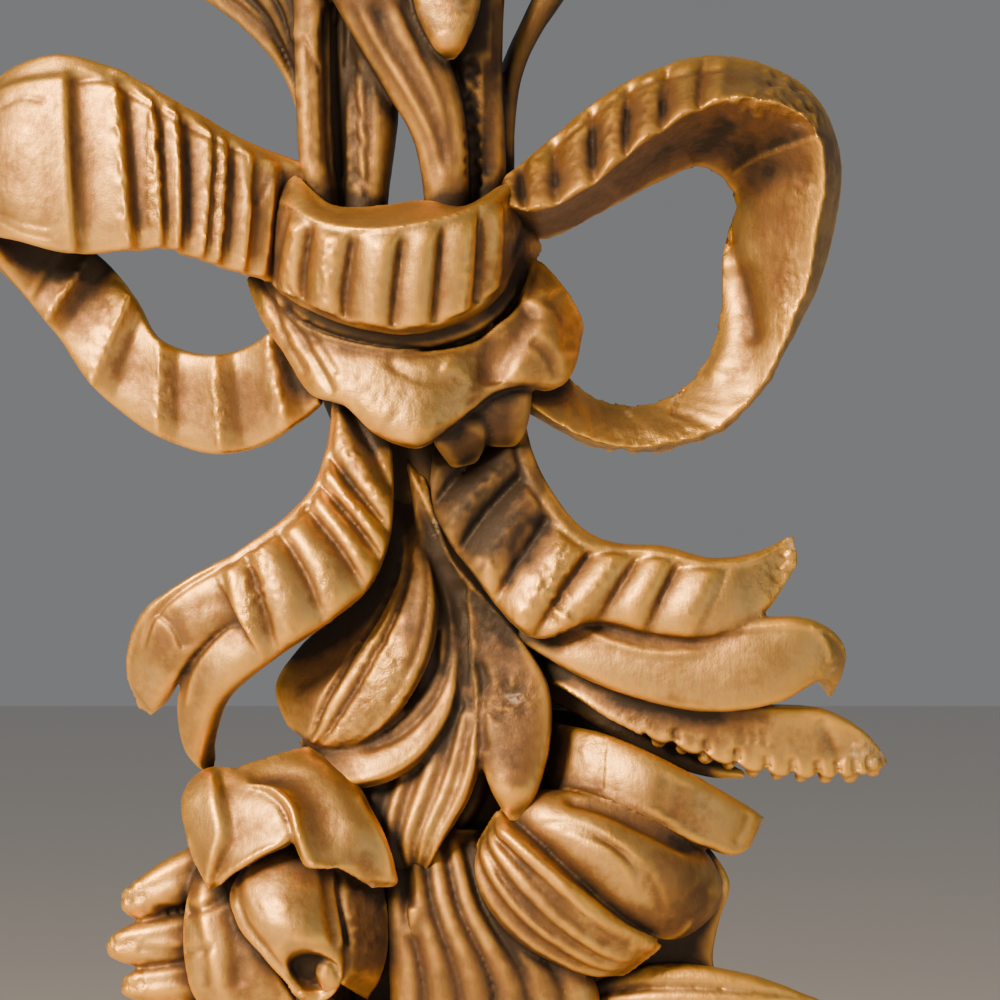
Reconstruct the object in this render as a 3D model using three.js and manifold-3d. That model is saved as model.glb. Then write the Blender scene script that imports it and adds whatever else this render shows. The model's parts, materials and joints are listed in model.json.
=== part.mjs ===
// Carved and gilded wall ornament: a bouquet hung head down, its stems tied with a crimped ribbon bow.
// It is one solid. Millimetres, +Z up, the wall is the plane y = 0 and the carving faces -Y.
import * as THREE from "three";
import Module from "manifold-3d";

// Driving dimensions, in millimetres
const ORNAMENT_HEIGHT = 425; // cut stem ends to the lowest leaf tip
const RIBBON_THICKNESS = 6;
const RIBBON_FLUTE_DEPTH = 2.4; // valley to ridge of a crimp
const LEAF_THICKNESS = 6;
const LEAF_VEIN_DEPTH = 1.6;
const PETAL_THICKNESS = 5;
const STEM_GROOVE_DEPTH = 1;
const BEAD_DEPTH = 2.6; // notches along the beaded leaf's edge

// Layout drawing: the free form is laid out on a drawing on which the ornament is 850 units tall.
// A place is [x, z, depth]: right of the knot, above it, and out from the wall.
const DRAWING_HEIGHT = 850;
const unit = ORNAMENT_HEIGHT / DRAWING_HEIGHT;

// How a blade's thickness falls off towards its edges and its two ends
const EDGE_SHARE = 0.55;
const TIP_SHARE = 0.35;
const TIP_LENGTH = 0.16;

const smooth = (x) => {
  const c = Math.min(1, Math.max(0, x));
  return c * c * (3 - 2 * c);
};

// Relief: each of these gives the height of the carving at t along a blade and s across it.

// Crimps across a ribbon: each rises slowly, turns over a ridge and drops into a sharp valley.
// A crimp takes two steps of its blade, one at the valley and one at the ridge.
const RIDGE_AT = 0.6;
const crimps = (count, from = 0, to = 1) => (t) => {
  if (t < from || t > to) return 0;
  const place = (((t - from) / (to - from)) * count) % 1;
  const turn = place < RIDGE_AT ? place / RIDGE_AT / 2 : 0.5 + (place - RIDGE_AT) / (1 - RIDGE_AT) / 2;
  return RIBBON_FLUTE_DEPTH * (Math.sin(Math.PI * turn) ** 0.75 - 0.5);
};

// Grooves along a blade at the given places across it
const grooves = (places, depth, width = 0.09) => (t, s) => {
  const fade = smooth(t / 0.15) * smooth((1 - t) / 0.12);
  return places.reduce((sum, place) => sum - depth * fade * Math.exp(-(((s - place) / width) ** 2)), 0);
};

// Even ridges along a blade
const ridges = (count, depth) => (t, s) => {
  return depth * smooth(t / 0.1) * (Math.abs(Math.sin(Math.PI * count * s)) - 0.5);
};

// Notches along the second edge
const notches = (count, depth, from) => (t, s) => {
  if (t < from) return 0;
  const wave = -Math.cos((2 * Math.PI * count * (t - from)) / (1 - from));
  return -depth * Math.max(0, wave) * smooth((s - 0.6) / 0.3);
};

const plain = () => 0;

// A place on the drawing as a point in millimetres
const place = (x, z, depth) => new THREE.Vector3(x * unit, -depth * unit, z * unit);

// A blade is a strip between two edge curves. Each row gives one place on each edge, in drawing units,
// and how far the strip bulges between them: [x, z, depth, x, z, depth, crown].
// A two-sided blade is carved on both of its faces; the others have a plain underside.
function blade(shape) {
  const { rows, thick = LEAF_THICKNESS, steps = 7, across = 3 } = shape;
  const { relief = plain, twoSided = false, tips = [0, 1] } = shape;
  const first = new THREE.CatmullRomCurve3(rows.map((r) => place(r[0], r[1], r[2])));
  const second = new THREE.CatmullRomCurve3(rows.map((r) => place(r[3], r[4], r[5])));
  const crowns = new THREE.CatmullRomCurve3(rows.map((r) => new THREE.Vector3((r[6] ?? 0) * unit, 0, 0)));
  const middle = (t) => first.getPoint(t).add(second.getPoint(t)).multiplyScalar(0.5);

  const positions = [];
  let facing = 0;
  for (let j = 0; j <= steps; j++) {
    const t = j / steps;
    const a = first.getPoint(t);
    const b = second.getPoint(t);
    const ahead = middle(Math.min(1, t + 0.01)).sub(middle(Math.max(0, t - 0.01)));
    const normal = ahead.clone().cross(b.clone().sub(a)).normalize();
    if (j === 0) facing = normal.y < 0 ? 1 : -1;
    normal.multiplyScalar(facing);
    const taper = Math.min(
      tips[0] ? TIP_SHARE + (1 - TIP_SHARE) * smooth(t / TIP_LENGTH) : 1,
      tips[1] ? TIP_SHARE + (1 - TIP_SHARE) * smooth((1 - t) / TIP_LENGTH) : 1,
    );
    const crown = crowns.getPoint(t).x;
    const section = [[], []];
    for (let i = 0; i <= across; i++) {
      const s = i / across;
      const round = 1 - (2 * s - 1) ** 2;
      const half = (thick / 2) * taper * (EDGE_SHARE + (1 - EDGE_SHARE) * Math.sqrt(round));
      const carved = relief(t, s);
      const on = a.clone().lerp(b, s);
      section[0].push(on.clone().addScaledVector(normal, crown * round + half + carved));
      if (twoSided) section[1].push(on.clone().addScaledVector(normal, crown * round - half + carved));
      else if (i === 0 || i === across) section[1].push(on.clone().addScaledVector(normal, -half));
    }
    for (const p of [...section[0], ...section[1].reverse()]) positions.push(p.x, p.y, p.z);
  }

  return loft(positions, steps);
}

// Joins equal rings of points, one after another, and closes both ends
function loft(positions, steps) {
  const ring = positions.length / 3 / (steps + 1);
  const last = steps * ring;
  const index = [];
  for (let j = 0; j < steps; j++) {
    for (let i = 0; i < ring; i++) {
      const p = j * ring + i;
      const q = j * ring + ((i + 1) % ring);
      index.push(p, q, p + ring, q, q + ring, p + ring);
    }
  }
  for (let i = 1; i < ring - 1; i++) {
    index.push(0, i + 1, i, last, last + i, last + i + 1);
  }
  return closed(positions, index);
}

// A body is a solid between several edge curves: its front runs over them one after another, with
// the given number of strips in each span, and a straight back closes it. Each row gives one place
// on each curve. Relief can be carved in one span.
function body({ rows, spans, steps, carvedSpan = 0, relief = plain }) {
  const curves = rows[0].map((_, k) => new THREE.CatmullRomCurve3(rows.map((row) => place(...row[k]))));
  const positions = [];
  for (let j = 0; j <= steps; j++) {
    const t = j / steps;
    const at = curves.map((curve) => curve.getPoint(t));
    const section = [at[0]];
    spans.forEach((strips, k) => {
      const before = curves[k].getPoint(Math.max(0, t - 0.01));
      const ahead = curves[k].getPoint(Math.min(1, t + 0.01)).sub(before);
      const normal = ahead.cross(at[k + 1].clone().sub(at[k])).normalize();
      if (normal.y > 0) normal.negate();
      for (let i = 1; i <= strips; i++) {
        const s = i / strips;
        const point = at[k].clone().lerp(at[k + 1], s);
        if (k === carvedSpan) point.addScaledVector(normal, relief(t, s));
        section.push(point);
      }
    });
    for (const p of section) positions.push(p.x, p.y, p.z);
  }
  return loft(positions, steps);
}

// A closed indexed geometry with its faces turned outwards
function closed(positions, index) {
  let volume = 0;
  const corner = (k) => new THREE.Vector3().fromArray(positions, index[k] * 3);
  for (let k = 0; k < index.length; k += 3) volume += corner(k).dot(corner(k + 1).cross(corner(k + 2)));
  if (volume < 0) {
    for (let k = 0; k < index.length; k += 3) [index[k + 1], index[k + 2]] = [index[k + 2], index[k + 1]];
  }
  const geometry = new THREE.BufferGeometry();
  geometry.setAttribute("position", new THREE.Float32BufferAttribute(positions, 3));
  geometry.setIndex(index);
  return geometry;
}

// The ground that the carving stands on: half-round sections with a flat back on the wall.
// Each row is [z, left, right, depth].
function ground(rows, steps = rows.length - 1, around = 6) {
  const curve = (k) => new THREE.CatmullRomCurve3(rows.map((r) => new THREE.Vector3(r[0], r[k], 0)));
  const [lefts, rights, depths] = [1, 2, 3].map(curve);
  const positions = [];
  for (let j = 0; j <= steps; j++) {
    const [left, right, depth] = [lefts, rights, depths].map((c) => c.getPoint(j / steps));
    const centre = (left.y + right.y) / 2;
    const half = (right.y - left.y) / 2;
    for (let i = 0; i <= around; i++) {
      const turn = (Math.PI * i) / around;
      const [x, y] = [centre - half * Math.cos(turn), -depth.y * Math.sin(turn)];
      positions.push(x * unit, y * unit, left.x * unit);
    }
  }
  return loft(positions, steps);
}

// Ribbon bow

const leftLoop = () =>
  blade({
    rows: [
      [-48, 66, 70, -58, 6, 72],
      [-80, 77, 84, -84, 12, 88, 2],
      [-102, 89, 92, -106, 19, 96, 3],
      [-122, 100, 97, -118, 23, 102, 3],
      [-147, 113, 100, -139, 22, 106, 3],
      [-172, 119, 100, -168, 21, 106, 4],
      [-196, 112, 90, -194, 28, 98, 5],
      [-208, 96, 70, -210, 30, 76, 3],
      [-198, 62, 50, -207, 18, 54, 0],
      [-176, 36, 42, -194, 2, 42, 0],
      [-156, 22, 40, -180, -15, 40, 0],
      [-140, 4, 40, -158, -45, 40, 0],
      [-127, -18, 42, -127, -68, 42, 0],
      [-102, -27, 46, -97, -77, 46, 0],
      [-79, -22, 50, -68, -70, 52, 0],
      [-58, -8, 56, -44, -52, 58, 0],
    ],
    thick: RIBBON_THICKNESS,
    steps: 32,
    across: 2,
    relief: (t) => crimps(5, 1 / 32, 11 / 32)(t) + crimps(6, 20 / 32, 1)(t),
    twoSided: true,
    tips: [0, 0],
  });

// Its curves: the outline, the front edge, and the edge round the loop's eye
const rightLoop = () =>
  body({
    rows: [
      [[42, 58, 60], [46, 46, 88], [54, 30, 56]],
      [[62, 74, 66], [64, 43, 96], [70, 31, 48]],
      [[88, 96, 68], [90, 56, 100], [96, 44, 44]],
      [[114, 112, 68], [112, 74, 102], [122, 58, 42]],
      [[146, 122, 66], [144, 93, 102], [146, 67, 40]],
      [[178, 118, 62], [172, 98, 100], [158, 60, 38]],
      [[204, 102, 54], [196, 86, 92], [163, 48, 36]],
      [[217, 72, 44], [205, 62, 84], [159, 34, 34]],
      [[214, 36, 38], [203, 38, 78], [156, 18, 34]],
      [[206, 8, 36], [198, 8, 72], [156, -4, 34]],
      [[194, -16, 36], [188, -18, 66], [150, -26, 36]],
      [[180, -40, 38], [178, -40, 62], [138, -42, 38]],
      [[158, -64, 40], [156, -62, 60], [120, -51, 40]],
      [[130, -76, 42], [128, -71, 62], [104, -51, 42]],
      [[104, -77, 44], [102, -71, 64], [90, -46, 44]],
      [[82, -70, 46], [80, -63, 68], [76, -34, 48]],
      [[58, -56, 50], [56, -50, 70], [56, -16, 52]],
    ],
    spans: [2, 1],
    steps: 36,
    relief: (t, s) => crimps(6, 1 / 36, 13 / 36)(t) + (s < 1 ? RIBBON_THICKNESS * 0.3 : 0),
  });

// The knot's curves: rim, top and foot of the crimped face, and the layer folded under it
const knot = () =>
  body({
    rows: [
      [[-66, 67, 58], [-76, 48, 62], [-78, 30, 60], [-77, 22, 52]],
      [[-55, 61, 80], [-60, 45, 94], [-67, 9, 84], [-68, -4, 64]],
      [[-38, 46, 92], [-44, 36, 110], [-47, -4, 102], [-47, -19, 80]],
      [[-16, 45, 96], [-18, 32, 119], [-22, -13, 112], [-22, -27, 88]],
      [[8, 48, 94], [6, 35, 120], [2, -15, 113], [2, -31, 89]],
      [[28, 45, 88], [27, 41, 114], [25, -8, 107], [27, -27, 86]],
      [[45, 56, 78], [43, 48, 102], [43, 5, 95], [51, -12, 74]],
      [[52, 60, 58], [54, 52, 74], [55, 34, 70], [67, 26, 50]],
    ],
    spans: [1, 3, 1],
    carvedSpan: 1,
    steps: 14,
    relief: (t, s) => crimps(7)(t) + (s < 1 ? RIBBON_THICKNESS * 0.5 : 0),
  });

const knotDrape = () =>
  blade({
    rows: [
      [-72, 16, 52, -77, 8, 50],
      [-64, 2, 68, -61, -24, 70, 1],
      [-52, -8, 80, -46, -48, 86, 0],
      [-34, -18, 86, -31, -54, 95, -2],
      [-16, -24, 90, -17, -67, 99, -3],
      [4, -28, 92, 5, -74, 102, -4],
      [20, -26, 92, 22, -63, 99, -3],
      [36, -20, 90, 38, -50, 94, -1],
      [50, -10, 84, 54, -44, 90, 4],
      [62, 4, 74, 76, -46, 76, 9],
      [66, 22, 60, 87, -20, 58, 8],
    ],
    thick: RIBBON_THICKNESS * 1.5,
    steps: 14,
    tips: [0, 0],
  });

const drapeFolds = () => [
  blade({
    rows: [
      [34, -44, 72, 62, -38, 62],
      [31, -53, 82, 60, -50, 76, 3],
      [33, -62, 78, 57, -62, 72, 3],
      [40, -69, 66, 51, -69, 64, 1],
    ],
    thick: RIBBON_THICKNESS * 1.5,
    steps: 4,
    across: 2,
  }),
  blade({
    rows: [
      [8, -58, 78, 40, -50, 70],
      [10, -68, 86, 38, -61, 80, 2],
      [15, -75, 80, 35, -70, 74, 2],
      [20, -79, 68, 30, -77, 66, 1],
    ],
    thick: RIBBON_THICKNESS * 1.5,
    steps: 4,
    across: 2,
  }),
];

// Ribbon tails

const leftTail = () =>
  blade({
    rows: [
      [-38, -38, 50, -12, -46, 54],
      [-42, -76, 66, -8, -96, 72, 2],
      [-50, -97, 72, -10, -120, 80, 3],
      [-66, -113, 78, -20, -143, 88, 4],
      [-82, -124, 80, -44, -163, 92, 4],
      [-96, -134, 78, -70, -180, 88, 4],
    ],
    thick: RIBBON_THICKNESS * 1.3,
    steps: 12,
    across: 3,
    relief: crimps(6),
    tips: [0, 0],
  });

const leftTailTips = () => [
  blade({
    rows: [
      [-80, -124, 78, -66, -168, 86, 4],
      [-98, -133, 78, -88, -163, 84, 5],
      [-116, -143, 76, -104, -175, 80, 5],
      [-131, -155, 70, -116, -191, 72, 5],
      [-139, -177, 58, -123, -202, 60, 4],
      [-137, -204, 46, -130, -208, 46, 0],
    ],
    steps: 7,
  }),
  blade({
    rows: [
      [-64, -152, 84, -60, -174, 86, 4],
      [-84, -160, 82, -80, -189, 84, 6],
      [-102, -175, 76, -91, -200, 78, 6],
      [-113, -194, 66, -97, -215, 68, 5],
      [-112, -217, 54, -100, -229, 54, 3],
      [-103, -234, 44, -99, -237, 44, 0],
    ],
    steps: 7,
  }),
];

const rightTail = () =>
  blade({
    rows: [
      [54, -42, 50, 14, -52, 54],
      [62, -78, 66, 12, -104, 72, 2],
      [72, -98, 72, 30, -134, 80, 3],
      [88, -116, 76, 62, -168, 86, 4],
      [104, -122, 76, 92, -160, 84, 4],
      [125, -123, 78, 120, -166, 86, 4],
      [150, -129, 80, 148, -168, 86, 4],
      [172, -126, 78, 174, -158, 82, 3],
      [191, -117, 74, 193, -132, 76, 0],
    ],
    thick: RIBBON_THICKNESS * 1.3,
    steps: 18,
    across: 3,
    relief: crimps(7, 0, 14 / 18),
    tips: [0, 1],
  });

const rightTailTips = () => [
  blade({
    rows: [
      [60, -140, 58, 54, -170, 66],
      [88, -154, 68, 82, -186, 76, 4],
      [112, -161, 74, 112, -198, 80, 5],
      [145, -162, 78, 150, -205, 84, 5],
      [175, -158, 82, 184, -200, 84, 5],
      [198, -159, 82, 203, -190, 76, 5],
      [213, -172, 66, 208, -194, 62, 3],
      [213, -194, 50, 210, -199, 48, 0],
    ],
    steps: 12,
  }),
  blade({
    rows: [
      [48, -166, 34, 44, -180, 34],
      [80, -180, 52, 76, -194, 52],
      [110, -194, 64, 106, -212, 62, 2],
      [140, -200, 70, 142, -225, 66, 4],
      [175, -202, 72, 178, -234, 66, 4],
      [205, -204, 70, 208, -236, 64, 4],
      [225, -214, 66, 228, -234, 62, 2],
      [238, -228, 61, 239, -231, 60, 0],
    ],
    steps: 14,
    across: 2,
    relief: notches(9, BEAD_DEPTH, 0.28),
  }),
  blade({
    rows: [
      [50, -176, 30, 46, -190, 30],
      [84, -194, 42, 80, -206, 40],
      [115, -212, 50, 112, -224, 46, 2],
      [145, -227, 50, 142, -236, 46, 2],
      [168, -237, 48, 168, -240, 46, 0],
    ],
    steps: 5,
    across: 2,
  }),
];

// Leaves between the tails

const centreLeaves = () => [
  blade({
    rows: [
      [-8, -98, 44, 4, -106, 48],
      [-16, -130, 46, 13, -140, 64, 2],
      [-34, -156, 46, 13, -162, 72, 4],
      [-56, -176, 46, 7, -184, 74, 5],
      [-67, -194, 46, -8, -208, 72, 5],
      [-62, -210, 46, -26, -222, 66, 4],
      [-54, -219, 46, -46, -225, 54, 0],
    ],
    steps: 7,
    across: 5,
    relief: grooves([1 / 3, 2 / 3], LEAF_VEIN_DEPTH),
  }),
  blade({
    rows: [
      [-4, -98, 44, 16, -108, 52],
      [0, -150, 52, 40, -154, 60, 2],
      [2, -200, 56, 42, -200, 64, 2],
      [10, -240, 58, 44, -236, 62, 0],
    ],
    steps: 4,
    across: 2,
  }),
  blade({
    rows: [
      [4, -118, 40, 18, -128, 46],
      [6, -160, 42, 22, -166, 58, 3],
      [-4, -195, 42, 16, -200, 60, 4],
      [-20, -214, 42, 2, -224, 58, 4],
      [-38, -222, 42, -20, -242, 56, 3],
      [-53, -222, 42, -44, -240, 50, 0],
    ],
    steps: 8,
  }),
  blade({
    rows: [
      [12, -140, 44, 30, -150, 54],
      [10, -185, 48, 38, -190, 66, 3],
      [-4, -225, 54, 33, -222, 74, 4],
      [-21, -247, 58, 23, -248, 74, 4],
      [-13, -270, 58, 12, -272, 70, 3],
      [-3, -289, 56, 5, -289, 58, 0],
    ],
    steps: 7,
    across: 6,
    relief: ridges(3, LEAF_VEIN_DEPTH),
  }),
  blade({
    rows: [
      [24, -170, 38, 44, -175, 46],
      [22, -215, 40, 41, -225, 50, 2],
      [16, -250, 40, 37, -250, 50, 2],
      [8, -284, 38, 16, -285, 40, 0],
    ],
    steps: 6,
    across: 3,
  }),
  blade({
    rows: [
      [-2, -80, 50, 8, -90, 52],
      [4, -112, 54, 22, -128, 60, 2],
      [10, -150, 56, 51, -163, 64, 3],
      [22, -190, 62, 69, -193, 70, 4],
      [33, -222, 70, 70, -218, 74, 6],
      [41, -245, 76, 64, -244, 76, 5],
      [50, -260, 76, 55, -260, 76, 0],
    ],
    steps: 8,
  }),
];

// Left flower and the fingered leaf behind it

const leftFlower = () => [
  blade({
    rows: [
      [-96, -244, 62, -44, -238, 60],
      [-98, -256, 76, -36, -254, 76],
      [-92, -268, 82, -32, -268, 82],
    ],
    thick: PETAL_THICKNESS * 2,
    steps: 2,
    across: 2,
    tips: [0, 0],
  }),
  blade({
    rows: [
      [-101, -237, 58, -86, -236, 66],
      [-110, -241, 64, -74, -246, 80, 2],
      [-114, -250, 70, -62, -254, 90, 3],
      [-112, -264, 74, -57, -267, 96, 3],
      [-107, -279, 76, -72, -276, 93, 2],
      [-101, -289, 76, -88, -286, 85, 0],
      [-98, -293, 74, -95, -292, 77, 0],
    ],
    thick: PETAL_THICKNESS,
    steps: 7,
  }),
  blade({
    rows: [
      [-87, -236, 66, -50, -225, 58],
      [-82, -245, 78, -36, -234, 64, 2],
      [-69, -247, 88, -25, -245, 70, 2],
      [-61, -254, 94, -19, -256, 76, 2],
      [-57, -266, 98, -13, -266, 82, 2],
      [-49, -281, 100, -9, -276, 84, 0],
      [-37, -277, 97, -6, -284, 83, 0],
      [-27, -283, 92, -5, -290, 81, 0],
      [-17, -293, 86, -6, -291, 80, 0],
    ],
    thick: PETAL_THICKNESS,
    steps: 9,
  }),
  blade({
    rows: [
      [-60, -266, 56, -42, -266, 58, 2],
      [-80, -282, 66, -38, -278, 72, 6],
      [-89, -297, 72, -36, -297, 80, 10],
      [-84, -312, 78, -34, -312, 86, 11],
      [-71, -326, 84, -32, -325, 88, 7],
      [-58, -340, 86, -34, -338, 86, 2],
      [-54, -345, 82, -42, -343, 82, 0],
    ],
    thick: PETAL_THICKNESS * 1.6,
    steps: 7,
    across: 4,
    tips: [0, 0],
  }),
  blade({
    rows: [
      [-40, -272, 72, -20, -276, 58],
      [-38, -294, 82, -14, -300, 62, 2],
      [-34, -320, 86, -14, -326, 62, 2],
      [-34, -340, 82, -22, -350, 60, 0],
    ],
    thick: PETAL_THICKNESS,
    steps: 7,
    across: 3,
  }),
  blade({
    rows: [
      [-108, -290, 50, -84, -290, 60],
      [-112, -308, 58, -82, -308, 70, 3],
      [-112, -330, 62, -70, -328, 74, 4],
      [-108, -346, 62, -58, -346, 74, 3],
      [-98, -356, 56, -50, -354, 66, 0],
    ],
    thick: PETAL_THICKNESS,
    steps: 8,
  }),
];

const fingerLeaf = () => {
  const fingers = [
    [[-72, -274], [-118, -292], [-145, -301], 28],
    [[-72, -306], [-120, -321], [-152, -324], 25],
    [[-72, -336], [-118, -343], [-145, -344], 22],
    [[-72, -358], [-112, -366], [-134, -372], 20],
  ];
  return fingers.map(([root, knuckle, tip, width]) =>
    blade({
      rows: [
        [root[0], root[1] + width / 2, 36, root[0], root[1] - width / 2, 36, 4],
        [knuckle[0], knuckle[1] + width / 2, 46, knuckle[0], knuckle[1] - width / 2, 46, 5],
        [tip[0] + 7, tip[1] + width * 0.34, 44, tip[0] + 7, tip[1] - width * 0.34, 42, 3],
        [tip[0], tip[1] + 2, 40, tip[0], tip[1] - 2, 39, 0],
      ],
      steps: 5,
      across: 2,
    }),
  );
};

// Right flower

const rightFlower = () => [
  blade({
    rows: [
      [72, -212, 46, 64, -246, 52],
      [100, -218, 64, 94, -250, 70, 4],
      [126, -229, 72, 120, -258, 76, 4],
      [150, -242, 68, 142, -270, 70, 4],
      [168, -253, 58, 160, -277, 60, 2],
      [177, -259, 50, 174, -265, 50, 0],
    ],
    thick: PETAL_THICKNESS * 1.2,
    steps: 7,
  }),
  blade({
    rows: [
      [56, -248, 56, 46, -264, 58, 3],
      [76, -246, 64, 64, -276, 70, 9],
      [102, -250, 68, 88, -298, 74, 16],
      [126, -260, 66, 110, -314, 70, 18],
      [142, -272, 56, 130, -319, 58, 12],
      [149, -288, 46, 144, -308, 46, 4],
    ],
    thick: PETAL_THICKNESS * 2,
    steps: 7,
    across: 5,
    tips: [0, 0],
  }),
  blade({
    rows: [
      [44, -254, 72, 34, -272, 64],
      [60, -268, 84, 38, -298, 72, 3],
      [81, -288, 90, 54, -318, 74, 4],
      [103, -308, 86, 78, -331, 72, 4],
      [126, -322, 72, 106, -338, 60, 0],
    ],
    thick: PETAL_THICKNESS * 1.4,
    steps: 6,
    across: 6,
    relief: ridges(3, LEAF_VEIN_DEPTH),
    tips: [1, 1],
  }),
  blade({
    rows: [
      [126, -266, 44, 146, -270, 44],
      [130, -290, 48, 160, -292, 46, 3],
      [124, -312, 48, 155, -312, 46, 3],
      [116, -334, 48, 152, -332, 46, 3],
      [112, -352, 48, 158, -348, 46, 0],
    ],
    thick: PETAL_THICKNESS,
    steps: 7,
    across: 3,
    tips: [0, 0],
  }),
];

// Strands between the two flowers, then the flowers and leaves of the lower end

const strands = () =>
  blade({
    rows: [
      [-14, -268, 44, 44, -270, 44, 4],
      [-14, -300, 56, 60, -304, 58, 6],
      [-10, -345, 60, 94, -345, 60, 7],
      [-12, -400, 54, 84, -396, 54, 6],
      [-4, -440, 44, 56, -440, 44, 4],
    ],
    steps: 5,
    across: 8,
    relief: ridges(4, LEAF_VEIN_DEPTH * 1.5),
    tips: [0, 0],
  });

// Open flower: petals turned about its middle, each from there outwards, round a bud
function openFlower({ x, z, depth, radius, petals, turn = 0 }) {
  const petal = (k) => {
    const angle = turn + (2 * Math.PI * k) / petals;
    const [along, aside] = [Math.cos(angle), Math.sin(angle)];
    const row = (out, half, rise, crown) => [
      x + radius * (out * along - half * aside),
      z + radius * (out * aside + half * along),
      depth + radius * rise,
      x + radius * (out * along + half * aside),
      z + radius * (out * aside - half * along),
      depth + radius * rise,
      crown,
    ];
    return blade({
      rows: [
        row(0.1, 0.16, 0, 0),
        row(0.45, 0.46, 0.16, 3),
        row(0.85, 0.44, 0.08, 5),
        row(1, 0.16, -0.12, 2),
      ],
      thick: PETAL_THICKNESS * 1.6,
      steps: 4,
      across: 2,
    });
  };
  const level = (half, up, rise, crown) => {
    const [rowZ, rowDepth] = [z + radius * up, depth + radius * rise];
    return [x - radius * half, rowZ, rowDepth, x + radius * half, rowZ, rowDepth, crown];
  };
  const bud = blade({
    rows: [
      level(0.06, 0.34, 0, 0),
      level(0.3, 0.1, 0.2, 7),
      level(0.26, -0.2, 0.2, 6),
      level(0.06, -0.34, 0, 0),
    ],
    thick: PETAL_THICKNESS * 2,
    steps: 4,
    across: 3,
  });
  return [...Array.from({ length: petals }, (_, k) => petal(k)), bud];
}

// Pointed leaf from its root to its tip, widest at its middle
function pointedLeaf([x, z, depth], [tipX, tipZ, tipDepth], width) {
  const length = Math.hypot(tipX - x, tipZ - z);
  const [aside, along] = [(tipZ - z) / length, -(tipX - x) / length];
  const row = (share, half, rise, crown) => {
    const [mx, mz] = [x + (tipX - x) * share, z + (tipZ - z) * share];
    const md = depth + (tipDepth - depth) * share + rise;
    return [mx + aside * half, mz + along * half, md, mx - aside * half, mz - along * half, md, crown];
  };
  return blade({
    rows: [
      row(0, width * 0.3, 0, 2),
      row(0.35, width * 0.5, 8, 4),
      row(0.7, width * 0.36, 8, 4),
      row(1, 1, 0, 0),
    ],
    steps: 4,
    across: 2,
    relief: grooves([0.5], LEAF_VEIN_DEPTH),
  });
}

const lowerEnd = () => [
  ...openFlower({ x: -52, z: -408, depth: 60, radius: 60, petals: 5, turn: 0.5 }),
  ...openFlower({ x: 62, z: -446, depth: 58, radius: 66, petals: 5, turn: 0.1 }),
  pointedLeaf([84, -356, 44], [206, -352, 50], 44),
  pointedLeaf([-74, -372, 38], [-158, -392, 40], 34),
  pointedLeaf([-50, -440, 34], [-120, -506, 36], 40),
  pointedLeaf([58, -458, 34], [146, -534, 36], 44),
  pointedLeaf([-10, -480, 34], [-54, -568, 30], 38),
  pointedLeaf([30, -490, 34], [66, -584, 30], 38),
  pointedLeaf([6, -490, 38], [4, -600, 28], 42),
];

// Sheaf of stems: left outer, straight, ribbed, crossing, serrated and right outer, then a drooping leaf

const sheaf = () => {
  const stem = (rows, relief = plain, steps = 5) =>
    blade({ rows, thick: LEAF_THICKNESS * 1.6, steps, across: 3, relief, tips: [0, 0] });
  return [
    stem([
      [-66, 236, 58, -48, 238, 60, 5],
      [-58, 170, 62, -41, 170, 64, 5],
      [-56, 110, 64, -41, 110, 68, 5],
      [-52, 70, 66, -37, 64, 70, 5],
      [-46, 20, 64, -30, 20, 66, 5],
    ]),
    stem([
      [-46, 246, 48, -28, 248, 50, 4],
      [-42, 170, 50, -27, 170, 52, 4],
      [-38, 110, 50, -26, 110, 54, 4],
      [-36, 20, 52, -24, 20, 54, 4],
    ]),
    stem([
      [-20, 236, 46, -2, 238, 46, 5],
      [-26, 170, 52, -8, 170, 54, 5],
      [-33, 100, 58, -6, 96, 60, 5],
      [-33, 52, 60, -11, 50, 60, 5],
      [-32, 20, 60, -13, 20, 60, 5],
    ]),
    stem([
      [-74, 228, 66, -50, 240, 68, 5],
      [-40, 152, 72, 0, 158, 74, 6],
      [-12, 104, 76, 24, 106, 78, 6],
      [3, 76, 76, 29, 78, 78, 5],
      [10, 20, 72, 30, 20, 72, 5],
    ], ridges(3, STEM_GROOVE_DEPTH)),
    stem([
      [34, 242, 52, 54, 244, 52, 4],
      [20, 160, 56, 48, 164, 56, 5],
      [19, 110, 60, 46, 116, 58, 5],
      [27, 60, 62, 46, 60, 58, 5],
      [24, 20, 60, 42, 20, 58, 5],
    ]),
    stem([
      [92, 210, 38, 110, 202, 36, 4],
      [62, 154, 42, 78, 154, 42, 4],
      [44, 110, 44, 55, 112, 42, 4],
      [38, 20, 46, 52, 20, 44, 4],
    ]),
    blade({
      rows: [
        [-50, 84, 44, -44, 84, 52],
        [-60, 112, 46, -50, 120, 56, 2],
        [-84, 140, 44, -54, 160, 60, 4],
        [-112, 158, 38, -84, 186, 52, 4],
        [-136, 176, 28, -132, 182, 30, 0],
      ],
      steps: 7,
      across: 3,
      relief: grooves([0.5], LEAF_VEIN_DEPTH),
      tips: [0, 1],
    }),
    blade({
      rows: [
        [12, 246, 50, 30, 246, 50, 2],
        [4, 196, 70, 36, 196, 70, 5],
        [1, 160, 86, 35, 160, 86, 6],
        [3, 143, 90, 34, 143, 90, 6],
        [9, 128, 90, 29, 128, 90, 4],
        [17, 119, 86, 22, 119, 86, 0],
      ],
      steps: 7,
      across: 3,
      tips: [0, 1],
    }),
  ];
};

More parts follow.
